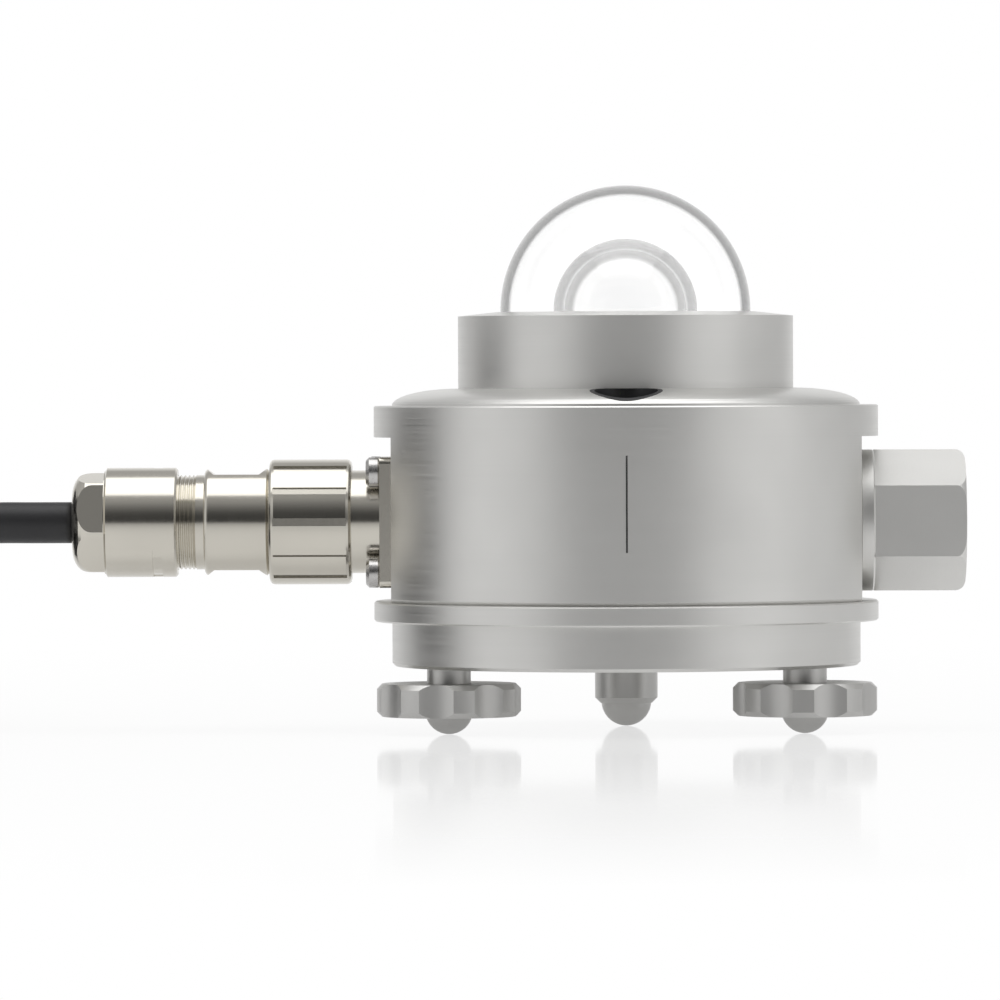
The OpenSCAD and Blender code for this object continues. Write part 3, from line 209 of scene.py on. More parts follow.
# The coil's line: each layer spirals in or out by one step a turn, and then climbs a step over
# half a turn. The radius is the start less the step times the turns. In the climb it bulges by
# half a step times the climb's share times what is left of it, and the height goes up by a step
# times the share squared times three less twice the share.
def coilLine(cable):
    step = cable["turnStep"]
    layerTurn = 360 * cable["turnsPerLayer"]
    block = layerTurn + cable["climb"]
    total = cable["layers"] * layerTurn + (cable["layers"] - 1) * cable["climb"]
    a = np.arange(0, total + 0.01, cable["degreesPerRing"])
    layer = np.minimum(cable["layers"] - 1, np.floor(a / block))
    along = a - layer * block
    climb = np.maximum(0, (along - layerTurn) / cable["climb"])
    drift = step * np.minimum(along, layerTurn) / 360
    bulge = step / 2 * climb * (1 - climb)
    inward = layer % 2 == 0
    radius = np.where(inward, cable["coilOut"] - drift - bulge, cable["coilIn"] + drift + bulge)
    height = cable["lowest"] + (layer + climb**2 * (3 - 2 * climb)) * step
    around = np.radians(cable["start"] - a)
    x = cable["coilMiddle"][0] + radius * np.cos(around)
    y = cable["coilMiddle"][1] + radius * np.sin(around)
    line = np.stack([x, y, height], -1)
    last = np.radians(cable["start"] - total)
    out = np.array([math.sin(last), -math.cos(last), 0])
    return np.vstack([line, line[-1] + out * cable["diameter"]]), out


coil, coilOutHeading = coilLine(cable)
coilEntry = coil[0] + [cable["diameter"], 0, 0]
freeStretch = throughPoints([cable["plugEnd"]] + cable["route"] + [coilEntry], cable["pointsPerSpan"])
cableLine = np.vstack([freeStretch[:-1], coil])
cordPiece = sweep("cable", cableLine, roundSection(cable["diameter"] / 2, cable["sides"]))
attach(cordPiece, "plug")
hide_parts("cable_run", "cable_coil")

leads = {
    "diameter": 0.0013,
    "length": 0.046,
    "count": 7,
    "spread": 0.27,
    "sink": 0.14,
    "inset": 0.08,
    "twist": 40,
    "bare": 0.006,
    "strand": 0.0008,
    "sides": 12,
    "strandSides": 10,
    "steps": 10,
    "settledAt": 0.6,
    "shorter": 0.06,
    "ringAngle": 60,
    "pointsPerSpan": 4,
    "colours": (
        (0.20, 0.09, 0.04), (0.75, 0.60, 0.05), (0.72, 0.72, 0.70), (0.04, 0.30, 0.10),
        (0.55, 0.04, 0.03), (0.04, 0.12, 0.45), (0.10, 0.10, 0.10),
    ),
}


# The leads' lines: each starts at its place in the cable's end and follows the coil's outer
# turn. Radius and height are each that of the cable's end times one less e plus that of the coil's
# side times e, where e is the share of the way squared times three less twice the share.
def leadLine(k, leads, cable, tip, heading):
    middle = np.array([*cable["coilMiddle"], 0])
    end = tip + heading * cable["diameter"]
    flat = end - middle
    endRadius = math.hypot(flat[0], flat[1])
    endAngle = math.atan2(flat[1], flat[0])
    square = tip - middle
    square = np.array([square[0], square[1], 0]) / math.hypot(square[0], square[1])
    fromMiddle = 0 if k == 0 else cable["diameter"] * leads["spread"]
    place = math.radians(k * leads["ringAngle"])
    first = end + square * fromMiddle * math.cos(place)
    first = first + np.array([0, 0, fromMiddle * math.sin(place)])
    s = np.arange(1, leads["steps"] + 1) / leads["steps"]
    e = np.minimum(1, s / leads["settledAt"])
    blend = e * e * (3 - e * 2)
    side = cable["coilOut"] - cable["turnStep"] * leads["inset"]
    radius = endRadius * (1 - blend) + side * blend
    lift = end[2] - cable["turnStep"] * leads["sink"] * blend
    around = np.radians(k * leads["ringAngle"] + leads["twist"] * s)
    length = leads["length"] * (1 - k % 3 * leads["shorter"])
    angle = endAngle - s * length / cable["coilOut"]
    out = radius + fromMiddle * np.cos(around)
    x = middle[0] + out * np.cos(angle)
    y = middle[1] + out * np.sin(angle)
    rest = np.stack([x, y, lift + fromMiddle * np.sin(around)], -1)
    corners = np.vstack([first, first + heading * leads["diameter"], rest])
    return throughPoints(corners, leads["pointsPerSpan"])


leadPieces = []
strandPieces = []
for k in range(leads["count"]):
    line = leadLine(k, leads, cable, coil[-2], coilOutHeading)
    reach = np.concatenate([[0], np.cumsum(np.linalg.norm(np.diff(line, axis=0), axis=1))])
    covered = line[reach < reach[-1] - leads["bare"]]
    lead = sweep("lead_%d" % k, covered, roundSection(leads["diameter"] / 2, leads["sides"]))
    bareEnd = line[len(covered) - 2:]
    strand = sweep("strand_%d" % k, bareEnd, roundSection(leads["strand"] / 2, leads["strandSides"]))
    for piece, slot in ((lead, "wire_cover"), (strand, "brass")):
        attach(piece, "plug")
    leadPieces.append(lead)
    strandPieces.append(strand)
for piece in leadPieces + strandPieces:
    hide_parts("cable_leads")
print("leads made:", len(leadPieces), "with bare ends:", len(strandPieces))

tie = {
    "angles": (110, 180, 250),
    "width": 0.009,
    "thickness": 0.0008,
    "play": 0.0001,
    "plays": 3,
    "floor": -0.01007,
    "corner": 0.0022,
    "looseShare": 1 / 8,
    "points": 180,
    "perCorner": 8,
    "edgeShare": 0.35,
    "perEdge": 4,
    "flapIn": 0.002,
    "flapOut": 0.0005,
    "flapWidthShare": 0.96,
    "flapCorner": 0.0003,
    "flapPoints": 16,
}


# The ties' line: a rectangle with round corners round the bundle of turns, in the upright plane
# through the coil's middle, with its points at equal steps, and the level direction square to
# that plane
def tieLine(tie, cable, angle):
    loose = cable["turnStep"] * tie["looseShare"] + tie["play"] * tie["plays"]
    half = cable["diameter"] / 2 + loose + tie["thickness"] / 2
    inner, outer = cable["coilIn"] - half, cable["coilOut"] + half
    stack = cable["turnStep"] * (cable["layers"] - 1) + cable["diameter"]
    tall = stack + tie["play"] * tie["plays"] + tie["thickness"]
    section = roundedSection(outer - inner, tall, tie["corner"], tie["perCorner"])
    closed = np.vstack([section, section[:1]])
    reach = np.concatenate([[0], np.cumsum(np.linalg.norm(np.diff(closed, axis=0), axis=1))])
    at = np.linspace(0, reach[-1], tie["points"], endpoint=False)
    radial = np.interp(at, reach, closed[:, 0]) + (inner + outer) / 2
    height = np.interp(at, reach, closed[:, 1]) + tie["floor"] + tie["thickness"] / 2 + tall / 2
    a = math.radians(angle)
    x = cable["coilMiddle"][0] + radial * math.cos(a)
    y = cable["coilMiddle"][1] + radial * math.sin(a)
    return np.stack([x, y, height], -1), np.array([-math.sin(a), math.cos(a), 0])


# A closed band: across it goes the width, and out of the line's own plane the thickness
def bandPiece(name, line, across, width, thickness):
    along = np.roll(line, -1, 0) - np.roll(line, 1, 0)
    along /= np.linalg.norm(along, axis=1, keepdims=True)
    out = np.cross(along, across)
    section = roundedSection(width, thickness, thickness * tie["edgeShare"], tie["perEdge"])
    points = line[:, None, :] + across * section[None, :, :1] + out[:, None, :] * section[None, :, 1:]
    rows, columns = points.shape[:2]
    return makeMesh(name, points, gridFaces(rows, columns, True))


# Each tie's flap lies on top of its band, on a level line out from the coil's middle
tiePieces = []
flapWidth = tie["width"] * tie["flapWidthShare"]
flapSection = roundedSection(flapWidth, tie["thickness"], tie["flapCorner"], tie["perEdge"])
for k, angle in enumerate(tie["angles"]):
    line, across = tieLine(tie, cable, angle)
    band = bandPiece("tie_%d" % k, line, across, tie["width"], tie["thickness"])
    out = np.array([math.cos(math.radians(angle)), math.sin(math.radians(angle)), 0])
    radii = np.linspace(cable["coilIn"] + tie["flapIn"], cable["coilOut"] - tie["flapOut"], tie["flapPoints"])
    top = line[:, 2].max() + tie["thickness"]
    flapPath = [(*cable["coilMiddle"], top)] + out * radii[:, None]
    flap = sweep("tie_flap_%d" % k, flapPath, flapSection)
    for piece in (band, flap):
        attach(piece, "plug")
        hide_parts("coil_ties")
        tiePieces.append(piece)
print("ties made:", len(tie["angles"]))

# Sizes are those of the part's source, in metres
domes = {
    "outer": {"node": "outer_dome", "radius": 0.01945, "wall": 0.0015},
    "inner": {"node": "inner_dome", "radius": 0.0112, "wall": 0.0017},
    "centre": 0.0551,
    "foot": 0.0535,
    "lip": 0.00012,
    "rings": 72,
    "segments": 192,
}


# A dome's profile: a quarter circle from the pole to the edge, straight down to the foot with a
# small bevel, across the wall, and back up along the smaller quarter circle to the pole
def domeProfile(radius, wall, domes):
    a = np.linspace(0, math.pi / 2, domes["rings"])
    outer = np.stack([radius * np.sin(a), domes["centre"] + radius * np.cos(a)], -1)
    small = radius - wall
    inner = np.stack([small * np.sin(a), domes["centre"] + small * np.cos(a)], -1)[::-1]
    foot, lip = domes["foot"], domes["lip"]
    edge = [(radius, foot + lip), (radius - lip, foot), (small + lip, foot), (small, foot + lip)]
    profile = np.vstack([outer, edge, inner])
    profile[0, 0] = profile[-1, 0] = 0
    return profile


domePieces = {}
for key in ("outer", "inner"):
    data = domes[key]
    piece = turned("dome_" + key, domeProfile(data["radius"], data["wall"], domes), domes["segments"])
    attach(piece, "instrument")
    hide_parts(data["node"])
    domePieces[key] = piece
print("domes made")

# A black lining of the level's pocket: partly the pocket's dark wall, partly painted shade in the pocket.
# Sizes are those of the part's source, in metres.
collar = {
    "place": (0, -0.0304),
    "inner": 0.00485,
    "outer": 0.00554,
    "foot": 0.04046,
    "wallTop": 0.0404,
    "shoulder": 0.00265,
    "shoulderFrom": 0.02605,
    "shoulderTo": 0.0364,
    "segments": 96,
}


# The sleeve's surface: round the level's middle at two radii, from its foot up to the height of
# the housing's shoulder there, which is a quarter ellipse over the distance from the origin
def collarPiece(collar):
    a = np.arange(collar["segments"]) * 2 * math.pi / collar["segments"]
    inner, outer = collar["inner"], collar["outer"]
    rows = []
    for radius, top in ((inner, False), (inner, True), (outer, True), (outer, False)):
        x = collar["place"][0] + radius * np.cos(a)
        y = collar["place"][1] + radius * np.sin(a)
        width = collar["shoulderTo"] - collar["shoulderFrom"]
        share = np.clip((np.hypot(x, y) - collar["shoulderFrom"]) / width, 0, 1)
        height = collar["wallTop"] + collar["shoulder"] * np.sqrt(1 - share**2)
        z = height if top else np.full_like(x, collar["foot"])
        rows.append(np.stack([x, y, np.maximum(z, collar["foot"])], -1))
    points = np.stack(rows)
    piece = makeMesh("level_pocket_wall_and_shade", points, gridFaces(len(rows), collar["segments"], True), False)
    return closeMesh(piece)


# The plain upright rule of the label, without its words: on the housing's wall, in front
rule = {
    "radius": 0.0392,
    "low": 0.0182,
    "high": 0.0329,
    "width": 0.00028,
    "thickness": 0.00004,
    "corner": 0.00001,
    "perCorner": 3,
    "points": 9,
}
ruleDepth = -rule["radius"] - rule["thickness"] / 4
rulePath = [(0, ruleDepth, z) for z in np.linspace(rule["low"], rule["high"], rule["points"])]
ruleSection = roundedSection(rule["width"], rule["thickness"], rule["corner"], rule["perCorner"])
labelRule = sweep("label_rule", rulePath, ruleSection, up=(0, -1, 0))
closeMesh(labelRule)
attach(labelRule, "instrument")

# Black lining: partly the pocket's dark wall, partly painted shade inside the pocket
pocketWallAndShade = collarPiece(collar)
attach(pocketWallAndShade, "instrument")
print("level sleeve and label rule made")


# A new material, with its nodes and its main shader
def newFinish(name):
    material = bpy.data.materials.new(name)
    material.use_nodes = True
    tree = material.node_tree
    return material, tree, tree.nodes["Principled BSDF"]


# A node of a kind, with its settings
def addNode(tree, kind, **values):
    node = tree.nodes.new(kind)
    for key, value in values.items():
        setattr(node, key, value)
    return node


# A sum or function of one or two values, each a number or another node's output
def mathNode(tree, operation, first, second=None):
    node = addNode(tree, "ShaderNodeMath", operation=operation)
    for k, value in enumerate((first, second)):
        if value is None:
            continue
        if isinstance(value, (int, float)):
            node.inputs[k].default_value = value
        else:
            tree.links.new(value, node.inputs[k])
    return node.outputs[0]


# A value carried in a straight line from one span to another, and held at its ends
def spread(tree, value, low, high, fromLow=0.3, fromHigh=0.7):
    node = addNode(tree, "ShaderNodeMapRange")
    for key, number in (("From Min", fromLow), ("From Max", fromHigh), ("To Min", low), ("To Max", high)):
        node.inputs[key].default_value = number
    tree.links.new(value, node.inputs["Value"])
    return node.outputs["Result"]


# Two shaders mixed by a share: 0 gives the first and 1 the second
def mixShaders(tree, share, first, second):
    mix = addNode(tree, "ShaderNodeMixShader")
    for k, output in enumerate((share, first.outputs[0], second.outputs[0])):
        tree.links.new(output, mix.inputs[k])
    return mix


# 1 for what the camera sees, itself or through glass, and 0 for all other light
def seenDirectly(tree, rays):
    return mathNode(tree, "MAXIMUM", rays.outputs["Is Camera Ray"], rays.outputs["Is Transmission Ray"])


# The floor and the white round the object. The share is how much of the floor's own white the
# camera sees in place of its shaded surface: near the object, far from it, and mirrored in metal.
studio = {
    "floorHeight": -0.01009,
    "floorColour": (0.86, 0.86, 0.86, 1),
    "floorRoughness": 0.06,
    "floorSpecular": 0.4,
    "floorReach": 8.0,
    "nearShare": 0.62,
    "farShare": 1.0,
    "nearEdge": 0.10,
    "farEdge": 0.42,
    "mirroredShare": 0.35,
    "background": 1.0,
}

floorMesh = bpy.data.meshes.new("floor")
reach = studio["floorReach"]
floorMesh.from_pydata(
    [(x * reach, y * reach, studio["floorHeight"]) for x, y in ((-1, -1), (1, -1), (1, 1), (-1, 1))],
    [], [(0, 1, 2, 3)],
)
floor = bpy.data.objects.new("floor", floorMesh)
scene.collection.objects.link(floor)

material, tree, shader = newFinish("floor_white")
shader.inputs["Base Color"].default_value = studio["floorColour"]
shader.inputs["Roughness"].default_value = studio["floorRoughness"]
shader.inputs["Specular IOR Level"].default_value = studio["floorSpecular"]
glow = addNode(tree, "ShaderNodeEmission")
glow.inputs["Color"].default_value = (1, 1, 1, 1)
glow.inputs["Strength"].default_value = 1.0
rays = addNode(tree, "ShaderNodeLightPath")
floorPlace = addNode(tree, "ShaderNodeTexCoord")
away = addNode(tree, "ShaderNodeVectorMath", operation="LENGTH")
tree.links.new(floorPlace.outputs["Object"], away.inputs[0])
shares, edges = (studio["nearShare"], studio["farShare"]), (studio["nearEdge"], studio["farEdge"])
byDistance = spread(tree, away.outputs["Value"], *shares, *edges)
shareSeen = mathNode(tree, "MULTIPLY", seenDirectly(tree, rays), byDistance)
shareMirrored = mathNode(tree, "MULTIPLY", rays.outputs["Is Glossy Ray"], studio["mirroredShare"])
share = mathNode(tree, "MAXIMUM", shareSeen, shareMirrored)
mix = mixShaders(tree, share, shader, glow)
tree.links.new(mix.outputs[0], tree.nodes["Material Output"].inputs["Surface"])
floorMesh.materials.append(material)


# An area lamp that looks from its place at a point of the object
def softBox(name, place, aim, width, height, power):
    data = bpy.data.lights.new(name, "AREA")
    data.shape = "RECTANGLE"
    data.size = width
    data.size_y = height
    data.energy = power
    lamp = bpy.data.objects.new(name, data)
    lamp.matrix_world = Matrix.Translation(place) @ (
        (Vector(aim) - Vector(place)).to_track_quat("-Z", "Y").to_matrix().to_4x4()
    )
    scene.collection.objects.link(lamp)


lamps = {
    "leftBox": ((-1.10, -0.75, 0.50), (0, 0, 0.03), 1.2, 1.2, 1.2),
    "rightBox": ((1.10, -0.75, 0.50), (0, 0, 0.03), 1.2, 1.2, 1.35),
    "topBox": ((0.0, -0.10, 1.30), (0, 0, 0.03), 1.6, 1.2, 8.0),
}
for name, (place, aim, width, height, power) in lamps.items():
    softBox(name, place, aim, width, height, power)

# The room round the object, as its metal shows it: for each share of the way from the front
# (-1) to the back (1), how bright the room is there
room = {
    "stops": (
        (-1.0, 0.04), (-0.93, 0.08), (-0.72, 0.33), (-0.2, 0.55), (0.3, 0.50), (0.75, 0.46), (0.97, 1.0),
    ),
    "soft": 0.50,
    "throughGlass": 1.12,
}

world = bpy.data.worlds.new("studio")
scene.world = world
world.use_nodes = True
tree = world.node_tree
plain = tree.nodes["Background"]
plain.inputs["Color"].default_value = (room["soft"],) * 3 + (1,)
direction = addNode(tree, "ShaderNodeTexCoord")
split = addNode(tree, "ShaderNodeSeparateXYZ")
tree.links.new(direction.outputs["Generated"], split.inputs[0])
ramp = addNode(tree, "ShaderNodeValToRGB")
tree.links.new(spread(tree, split.outputs["Y"], 0, 1, -1, 1), ramp.inputs["Fac"])
stops = ramp.color_ramp.elements
for k, (where, level) in enumerate(room["stops"]):
    stop = stops[k] if k < 2 else stops.new(1)
    stop.position = (where + 1) / 2
    stop.color = (level, level, level, 1)
shown = addNode(tree, "ShaderNodeBackground")
tree.links.new(ramp.outputs["Color"], shown.inputs["Color"])
white = addNode(tree, "ShaderNodeBackground")
white.inputs["Color"].default_value = (1, 1, 1, 1)
rays = addNode(tree, "ShaderNodeLightPath")
levels = (studio["background"], room["throughGlass"])
tree.links.new(spread(tree, rays.outputs["Is Transmission Ray"], *levels, 0, 1), white.inputs["Strength"])
mirrored = mixShaders(tree, rays.outputs["Is Glossy Ray"], plain, shown)
mix = mixShaders(tree, seenDirectly(tree, rays), mirrored, white)
tree.links.new(mix.outputs[0], tree.nodes["World Output"].inputs["Surface"])
scene.view_settings.view_transform = "Standard"
print("studio lit")

# The patterns are set out in millimetres
metres = 1000.0


# Object coordinates in millimetres, moved so that the middle of the pattern is at centre
def objectPlace(tree, centre=(0, 0, 0)):
    place = addNode(tree, "ShaderNodeTexCoord")
    moved = addNode(tree, "ShaderNodeMapping")
    moved.inputs["Scale"].default_value = (metres, metres, metres)
    moved.inputs["Location"].default_value = tuple(-c for c in centre)
    tree.links.new(place.outputs["Object"], moved.inputs["Vector"])
    return moved.outputs["Vector"]


# Soft noise from 0 to 1 at a place in a pattern
def noise(tree, vector, scale, detail, rough=0.5):
    node = addNode(tree, "ShaderNodeTexNoise")
    node.inputs["Scale"].default_value = scale
    node.inputs["Detail"].default_value = detail
    node.inputs["Roughness"].default_value = rough
    tree.links.new(vector, node.inputs["Vector"])
    return node.outputs["Fac"]


# A colour between two: the first times one less the value, plus the second times the value
def colourBetween(tree, value, first, second):
    node = addNode(tree, "ShaderNodeMix", data_type="RGBA")
    node.inputs["A"].default_value = (*first, 1)
    node.inputs["B"].default_value = (*second, 1)
    tree.links.new(value, node.inputs["Factor"])
    return node.outputs["Result"]


# Small unevenness of a surface from a value, in the shader alone
def bump(tree, shader, height, strength, distance):
    node = addNode(tree, "ShaderNodeBump")
    node.inputs["Strength"].default_value = strength
    node.inputs["Distance"].default_value = distance
    tree.links.new(height, node.inputs["Height"])
    tree.links.new(node.outputs["Normal"], shader.inputs["Normal"])


# Place in the pattern of a turned piece: the radius from the axis, the way along it, and the
# cosine of the angle, each times its factor, so that noise drawn there runs in fine rings
def turnedPlace(tree, axis, centre, fine=9.0, around=0.6):
    split = addNode(tree, "ShaderNodeSeparateXYZ")
    tree.links.new(objectPlace(tree, centre), split.inputs[0])
    names = {"x": ("Y", "Z", "X"), "z": ("X", "Y", "Z")}[axis]
    first, second, along = (split.outputs[n] for n in names)
    squares = [mathNode(tree, "MULTIPLY", value, value) for value in (first, second)]
    radius = mathNode(tree, "SQRT", mathNode(tree, "ADD", *squares))
    angle = mathNode(tree, "ARCTAN2", second, first)
    joined = addNode(tree, "ShaderNodeCombineXYZ")
    tree.links.new(mathNode(tree, "MULTIPLY", radius, fine), joined.inputs[0])
    tree.links.new(mathNode(tree, "MULTIPLY", along, fine), joined.inputs[1])
    tree.links.new(mathNode(tree, "MULTIPLY", mathNode(tree, "COSINE", angle), around), joined.inputs[2])
    return joined.outputs[0]


# How surfaces vary: scale, detail and roughness of the fine noise, scale of the slow noise, the
# shares between which the roughness or the glass's tone varies, and the bump's depth in metres
patterns = {
    "turned": {
        "scale": 1.0, "detail": 4.0, "rough": 0.65, "slow": 0.06, "shares": (0.82, 1.2), "depth": 0.00002,
    },
    "rolled": {
        "scale": 1.6, "detail": 4.0, "rough": 0.6, "slow": 0.22, "shares": (0.8, 1.3), "depth": 0.00001,
    },
    "moulded": {"detail": 4.0, "rough": 0.6, "slow": 0.15, "shares": (0.88, 1.12), "depth": 0.00005},
    "glass": {"slow": 0.08, "tones": (0.985, 1)},
}


# Slow noise carries the colour from its first share to its second, neither of them over 1
def slowTone(tree, colour, slow, tones, detail=2.0):
    first, second = (tuple(min(1, c * share) for c in colour) for share in tones)
    mixed = noise(tree, objectPlace(tree), slow, detail)
    return colourBetween(tree, spread(tree, mixed, 0, 1), first, second)


# Fine noise at a place carries the roughness from its first share to its second, and its height
# gives the bump. The colour follows the slow noise.
def varySurface(tree, shader, place, scale, colour, roughness, tones, strength, pattern):
    fine = noise(tree, place, scale, pattern["detail"], pattern["rough"])
    tree.links.new(slowTone(tree, colour, pattern["slow"], tones), shader.inputs["Base Color"])
    low, high = (min(1, roughness * share) for share in pattern["shares"])
    tree.links.new(spread(tree, fine, low, high), shader.inputs["Roughness"])
    bump(tree, shader, fine, strength, pattern["depth"])


# Turned metal: the fine noise is drawn in the turned place, so that it runs in rings
def turnedMetal(name, colour, roughness, axis="z", centre=(0, 0, 0), rings=0.35, tones=(0.93, 1)):
    material, tree, shader = newFinish(name)
    shader.inputs["Metallic"].default_value = 1.0
    place, pattern = turnedPlace(tree, axis, centre), patterns["turned"]
    varySurface(tree, shader, place, pattern["scale"], colour, roughness, tones, rings, pattern)
    return material


# Smooth plated or rolled metal: the fine noise is drawn in millimetres, as faint marks of handling
def plainMetal(name, colour, roughness, marks=0.1, tones=(0.9, 1)):
    material, tree, shader = newFinish(name)
    shader.inputs["Metallic"].default_value = 1.0
    place, pattern = objectPlace(tree), patterns["rolled"]
    varySurface(tree, shader, place, pattern["scale"], colour, roughness, tones, marks, pattern)
    return material


# Moulded or coated stuff: the fine noise is a grain, and the tone shifts to both sides
def plainStuff(name, colour, roughness, grain=2.5, depth=0.25, shift=0.12):
    material, tree, shader = newFinish(name)
    tones, pattern = (1 - shift, 1 + shift), patterns["moulded"]
    varySurface(tree, shader, objectPlace(tree), grain, colour, roughness, tones, depth, pattern)
    return material


# Clear glass: light passes straight through it where it would otherwise throw a hard shadow. With
# a rim shade, the share by which the surface turns away carries the colour over to a painted grey:
# painted shade for the dark band that the walls show towards their edges.
def clearGlass(name, colour, index, shadow=0.92, rimShade=None):
    material, tree, shader = newFinish(name)
    shader.inputs["Transmission Weight"].default_value = 1.0
    shader.inputs["IOR"].default_value = index
    shade = slowTone(tree, colour, patterns["glass"]["slow"], patterns["glass"]["tones"])
    if rimShade:
        edge = addNode(tree, "ShaderNodeLayerWeight")
        edge.inputs["Blend"].default_value = rimShade["blend"]
        wall = spread(tree, edge.outputs["Facing"], 0, 1, rimShade["from"], rimShade["to"])
        if "outside" in rimShade:
            fromCentre = addNode(tree, "ShaderNodeVectorMath", operation="LENGTH")
            tree.links.new(objectPlace(tree, rimShade["centre"]), fromCentre.inputs[0])
            outside = mathNode(tree, "GREATER_THAN", fromCentre.outputs["Value"], rimShade["outside"])
            wall = mathNode(tree, "MULTIPLY", wall, outside)
        # Painted shade: towards the edges the glass's colour gives way to the painted grey
        node = addNode(tree, "ShaderNodeMix", data_type="RGBA")
        tree.links.new(wall, node.inputs["Factor"])
        tree.links.new(shade, node.inputs["A"])
        node.inputs["B"].default_value = (*rimShade["colour"], 1)
        shade = node.outputs["Result"]
    tree.links.new(shade, shader.inputs["Base Color"])
    shader.inputs["Roughness"].default_value = 0.0
    through = addNode(tree, "ShaderNodeBsdfTransparent")
    through.inputs["Color"].default_value = (shadow, shadow, shadow, 1)
    rays = addNode(tree, "ShaderNodeLightPath")
    mix = mixShaders(tree, rays.outputs["Is Shadow Ray"], shader, through)
    tree.links.new(mix.outputs[0], tree.nodes["Material Output"].inputs["Surface"])
    return material


portMiddle = (0, 0, 22.4)
# Painted shade on the domes' walls towards their edges, a grey put into the glass's colour: where it
# begins and is full, as the share by which the surface turns away, its colour, and for the outer dome
# only its outside
glassRimShade = {
    "outer": {
        "blend": 0.5, "from": 0.59, "to": 0.65, "colour": (0.12, 0.12, 0.118), "centre": (0, 0, 55.1),
        "outside": 18.7,
    },
    "inner": {"blend": 0.5, "from": 0.42, "to": 0.52, "colour": (0.22, 0.22, 0.217)},
}
finishes = {
    "bodyMetal": turnedMetal("body_metal", (0.80, 0.795, 0.775), 0.38, rings=0.08),
    "capMetal": turnedMetal("cap_metal", (0.80, 0.795, 0.775), 0.44, "x", portMiddle, 0.10),
    "footMetal": turnedMetal("foot_metal", (0.62, 0.615, 0.60), 0.36, rings=0.15),
    "nickel": turnedMetal("nickel", (0.71, 0.68, 0.61), 0.17, "x", portMiddle, 0.12),
    "steel": plainMetal("steel", (0.62, 0.61, 0.60), 0.24),
    "gold": plainMetal("gold", (0.86, 0.62, 0.26), 0.22),
    "tinned": plainMetal("tinned_copper", (0.74, 0.60, 0.50), 0.3),
    "brass": plainMetal("brass", (0.70, 0.54, 0.26), 0.3),
    "domeGlass": clearGlass("dome_glass", (1.0, 1.0, 1.0), 1.46, rimShade=glassRimShade["outer"]),
    "innerGlass": clearGlass("inner_glass", (1.0, 1.0, 1.0), 1.46, rimShade=glassRimShade["inner"]),
    "smallGlass": clearGlass("small_glass", (0.97, 1.0, 0.99), 1.5),
    "levelLiquid": clearGlass("level_liquid", (0.75, 0.9, 0.35), 1.36),
    "sealRubber": plainStuff("seal_rubber", (0.03, 0.03, 0.03), 0.6),
    "bond": plainStuff("bond", (0.80, 0.80, 0.78), 0.5),
    "absorber": plainStuff("absorber_black", (0.012, 0.012, 0.012), 0.95, 6.0, 0.5),
    "ceramic": plainStuff("ceramic", (0.80, 0.78, 0.72), 0.55, 5.0),
    "heaterFoil": plainStuff("heater_foil", (0.62, 0.30, 0.08), 0.35),
    "blackPlastic": plainStuff("black_plastic", (0.02, 0.02, 0.022), 0.42),
    "print": plainStuff("print", (0.03, 0.03, 0.03), 0.5, 4.0, 0.1),
    "board": plainStuff("board", (0.02, 0.18, 0.07), 0.35),
    "wireCover": plainStuff("wire_cover", (0.55, 0.06, 0.04), 0.4),
    "beads": plainStuff("beads", (0.80, 0.34, 0.06), 0.5, 4.0),
    "cagePlastic": plainStuff("cage_plastic", (0.74, 0.74, 0.72), 0.45),
    "indicator": plainStuff("indicator", (0.20, 0.38, 0.70), 0.8, 7.0),
    "jacket": plainStuff("cable_jacket", (0.022, 0.022, 0.024), 0.45, 3.0, 0.2),
    "tieBand": plainStuff("tie_band", (0.012, 0.012, 0.013), 0.8, 8.0, 0.8),
}

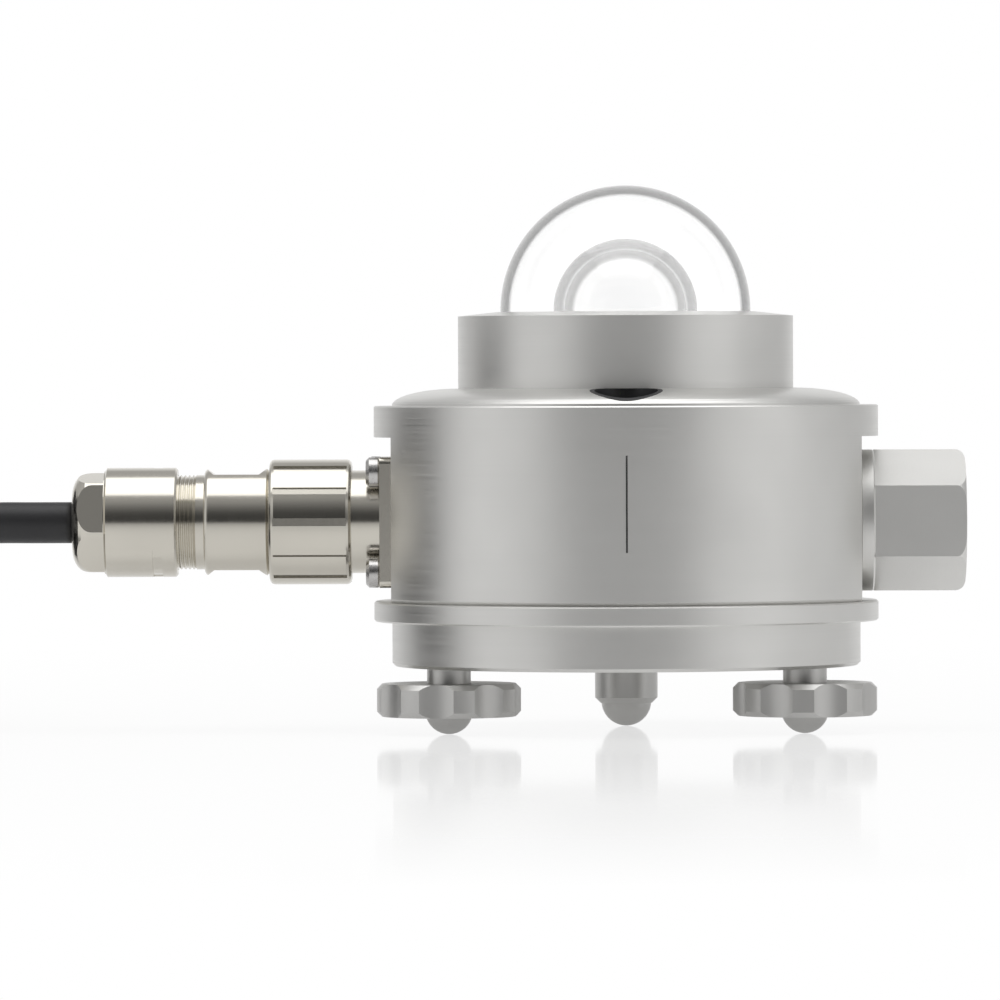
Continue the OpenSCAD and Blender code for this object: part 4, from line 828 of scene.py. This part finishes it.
nodeFinishes = {
    "base_plate": "bodyMetal", "base_seal": "sealRubber", "base_screws": "steel", "housing": "bodyMetal",
    "housing_seal": "sealRubber", "dome_ring": "bodyMetal", "dome_ring_screws": "steel",
    "outer_dome": "domeGlass", "outer_dome_bond": "bond", "inner_dome": "innerGlass",
    "inner_dome_bond": "bond", "sensor_block": "bodyMetal", "sensor_block_screws": "steel",
    "thermopile": "ceramic", "absorber_disc": "absorber", "heater_band": "heaterFoil",
    "temperature_probe": "steel", "level_cup": "blackPlastic", "level_liquid": "levelLiquid",
    "level_glass": "smallGlass", "rear_foot": "footMetal", "terminal_board": "board",
    "board_posts": "brass", "inner_wires": "wireCover", "socket_shell": "nickel",
    "socket_seal": "sealRubber", "socket_screws": "steel", "socket_insert": "blackPlastic",
    "socket_pins": "gold", "left_foot_screw": "footMetal", "left_foot_wheel": "footMetal",
    "right_foot_screw": "footMetal", "right_foot_wheel": "footMetal", "cartridge_seal": "sealRubber",
    "cartridge_cap": "capMetal", "cartridge_cage": "cagePlastic", "drying_beads": "beads",
    "cap_window": "smallGlass", "humidity_disc": "indicator", "plug_barrel": "nickel",
    "plug_insert": "blackPlastic", "ring_clip": "steel", "coupling_ring": "nickel",
    "clamp_nut": "nickel", "gland_seal": "sealRubber", "clamp_cage": "nickel",
    "cable_entry": "jacket", "cable_run": "jacket", "cable_coil": "jacket", "coil_ties": "tieBand",
    "cable_leads": "wireCover",
}
for node, finish in nodeFinishes.items():
    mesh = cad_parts[node].data
    mesh.materials.clear()
    mesh.materials.append(finishes[finish])
cordPiece.data.materials.append(finishes["jacket"])
# The pocket's black lining: partly its dark wall, partly painted shade in the pocket
pocketWallAndShade.data.materials.append(finishes["blackPlastic"])
labelRule.data.materials.append(finishes["print"])
for k, piece in enumerate(leadPieces):
    piece.data.materials.append(plainStuff("lead_cover_%d" % k, leads["colours"][k], 0.4, 3.0, 0.1, 0.06))
for piece in strandPieces:
    piece.data.materials.append(finishes["tinned"])
for piece in tiePieces:
    piece.data.materials.append(finishes["tieBand"])
domePieces["outer"].data.materials.append(finishes["domeGlass"])
domePieces["inner"].data.materials.append(finishes["innerGlass"])
print("finishes given:", len(nodeFinishes))

bpy.context.view_layer.update()
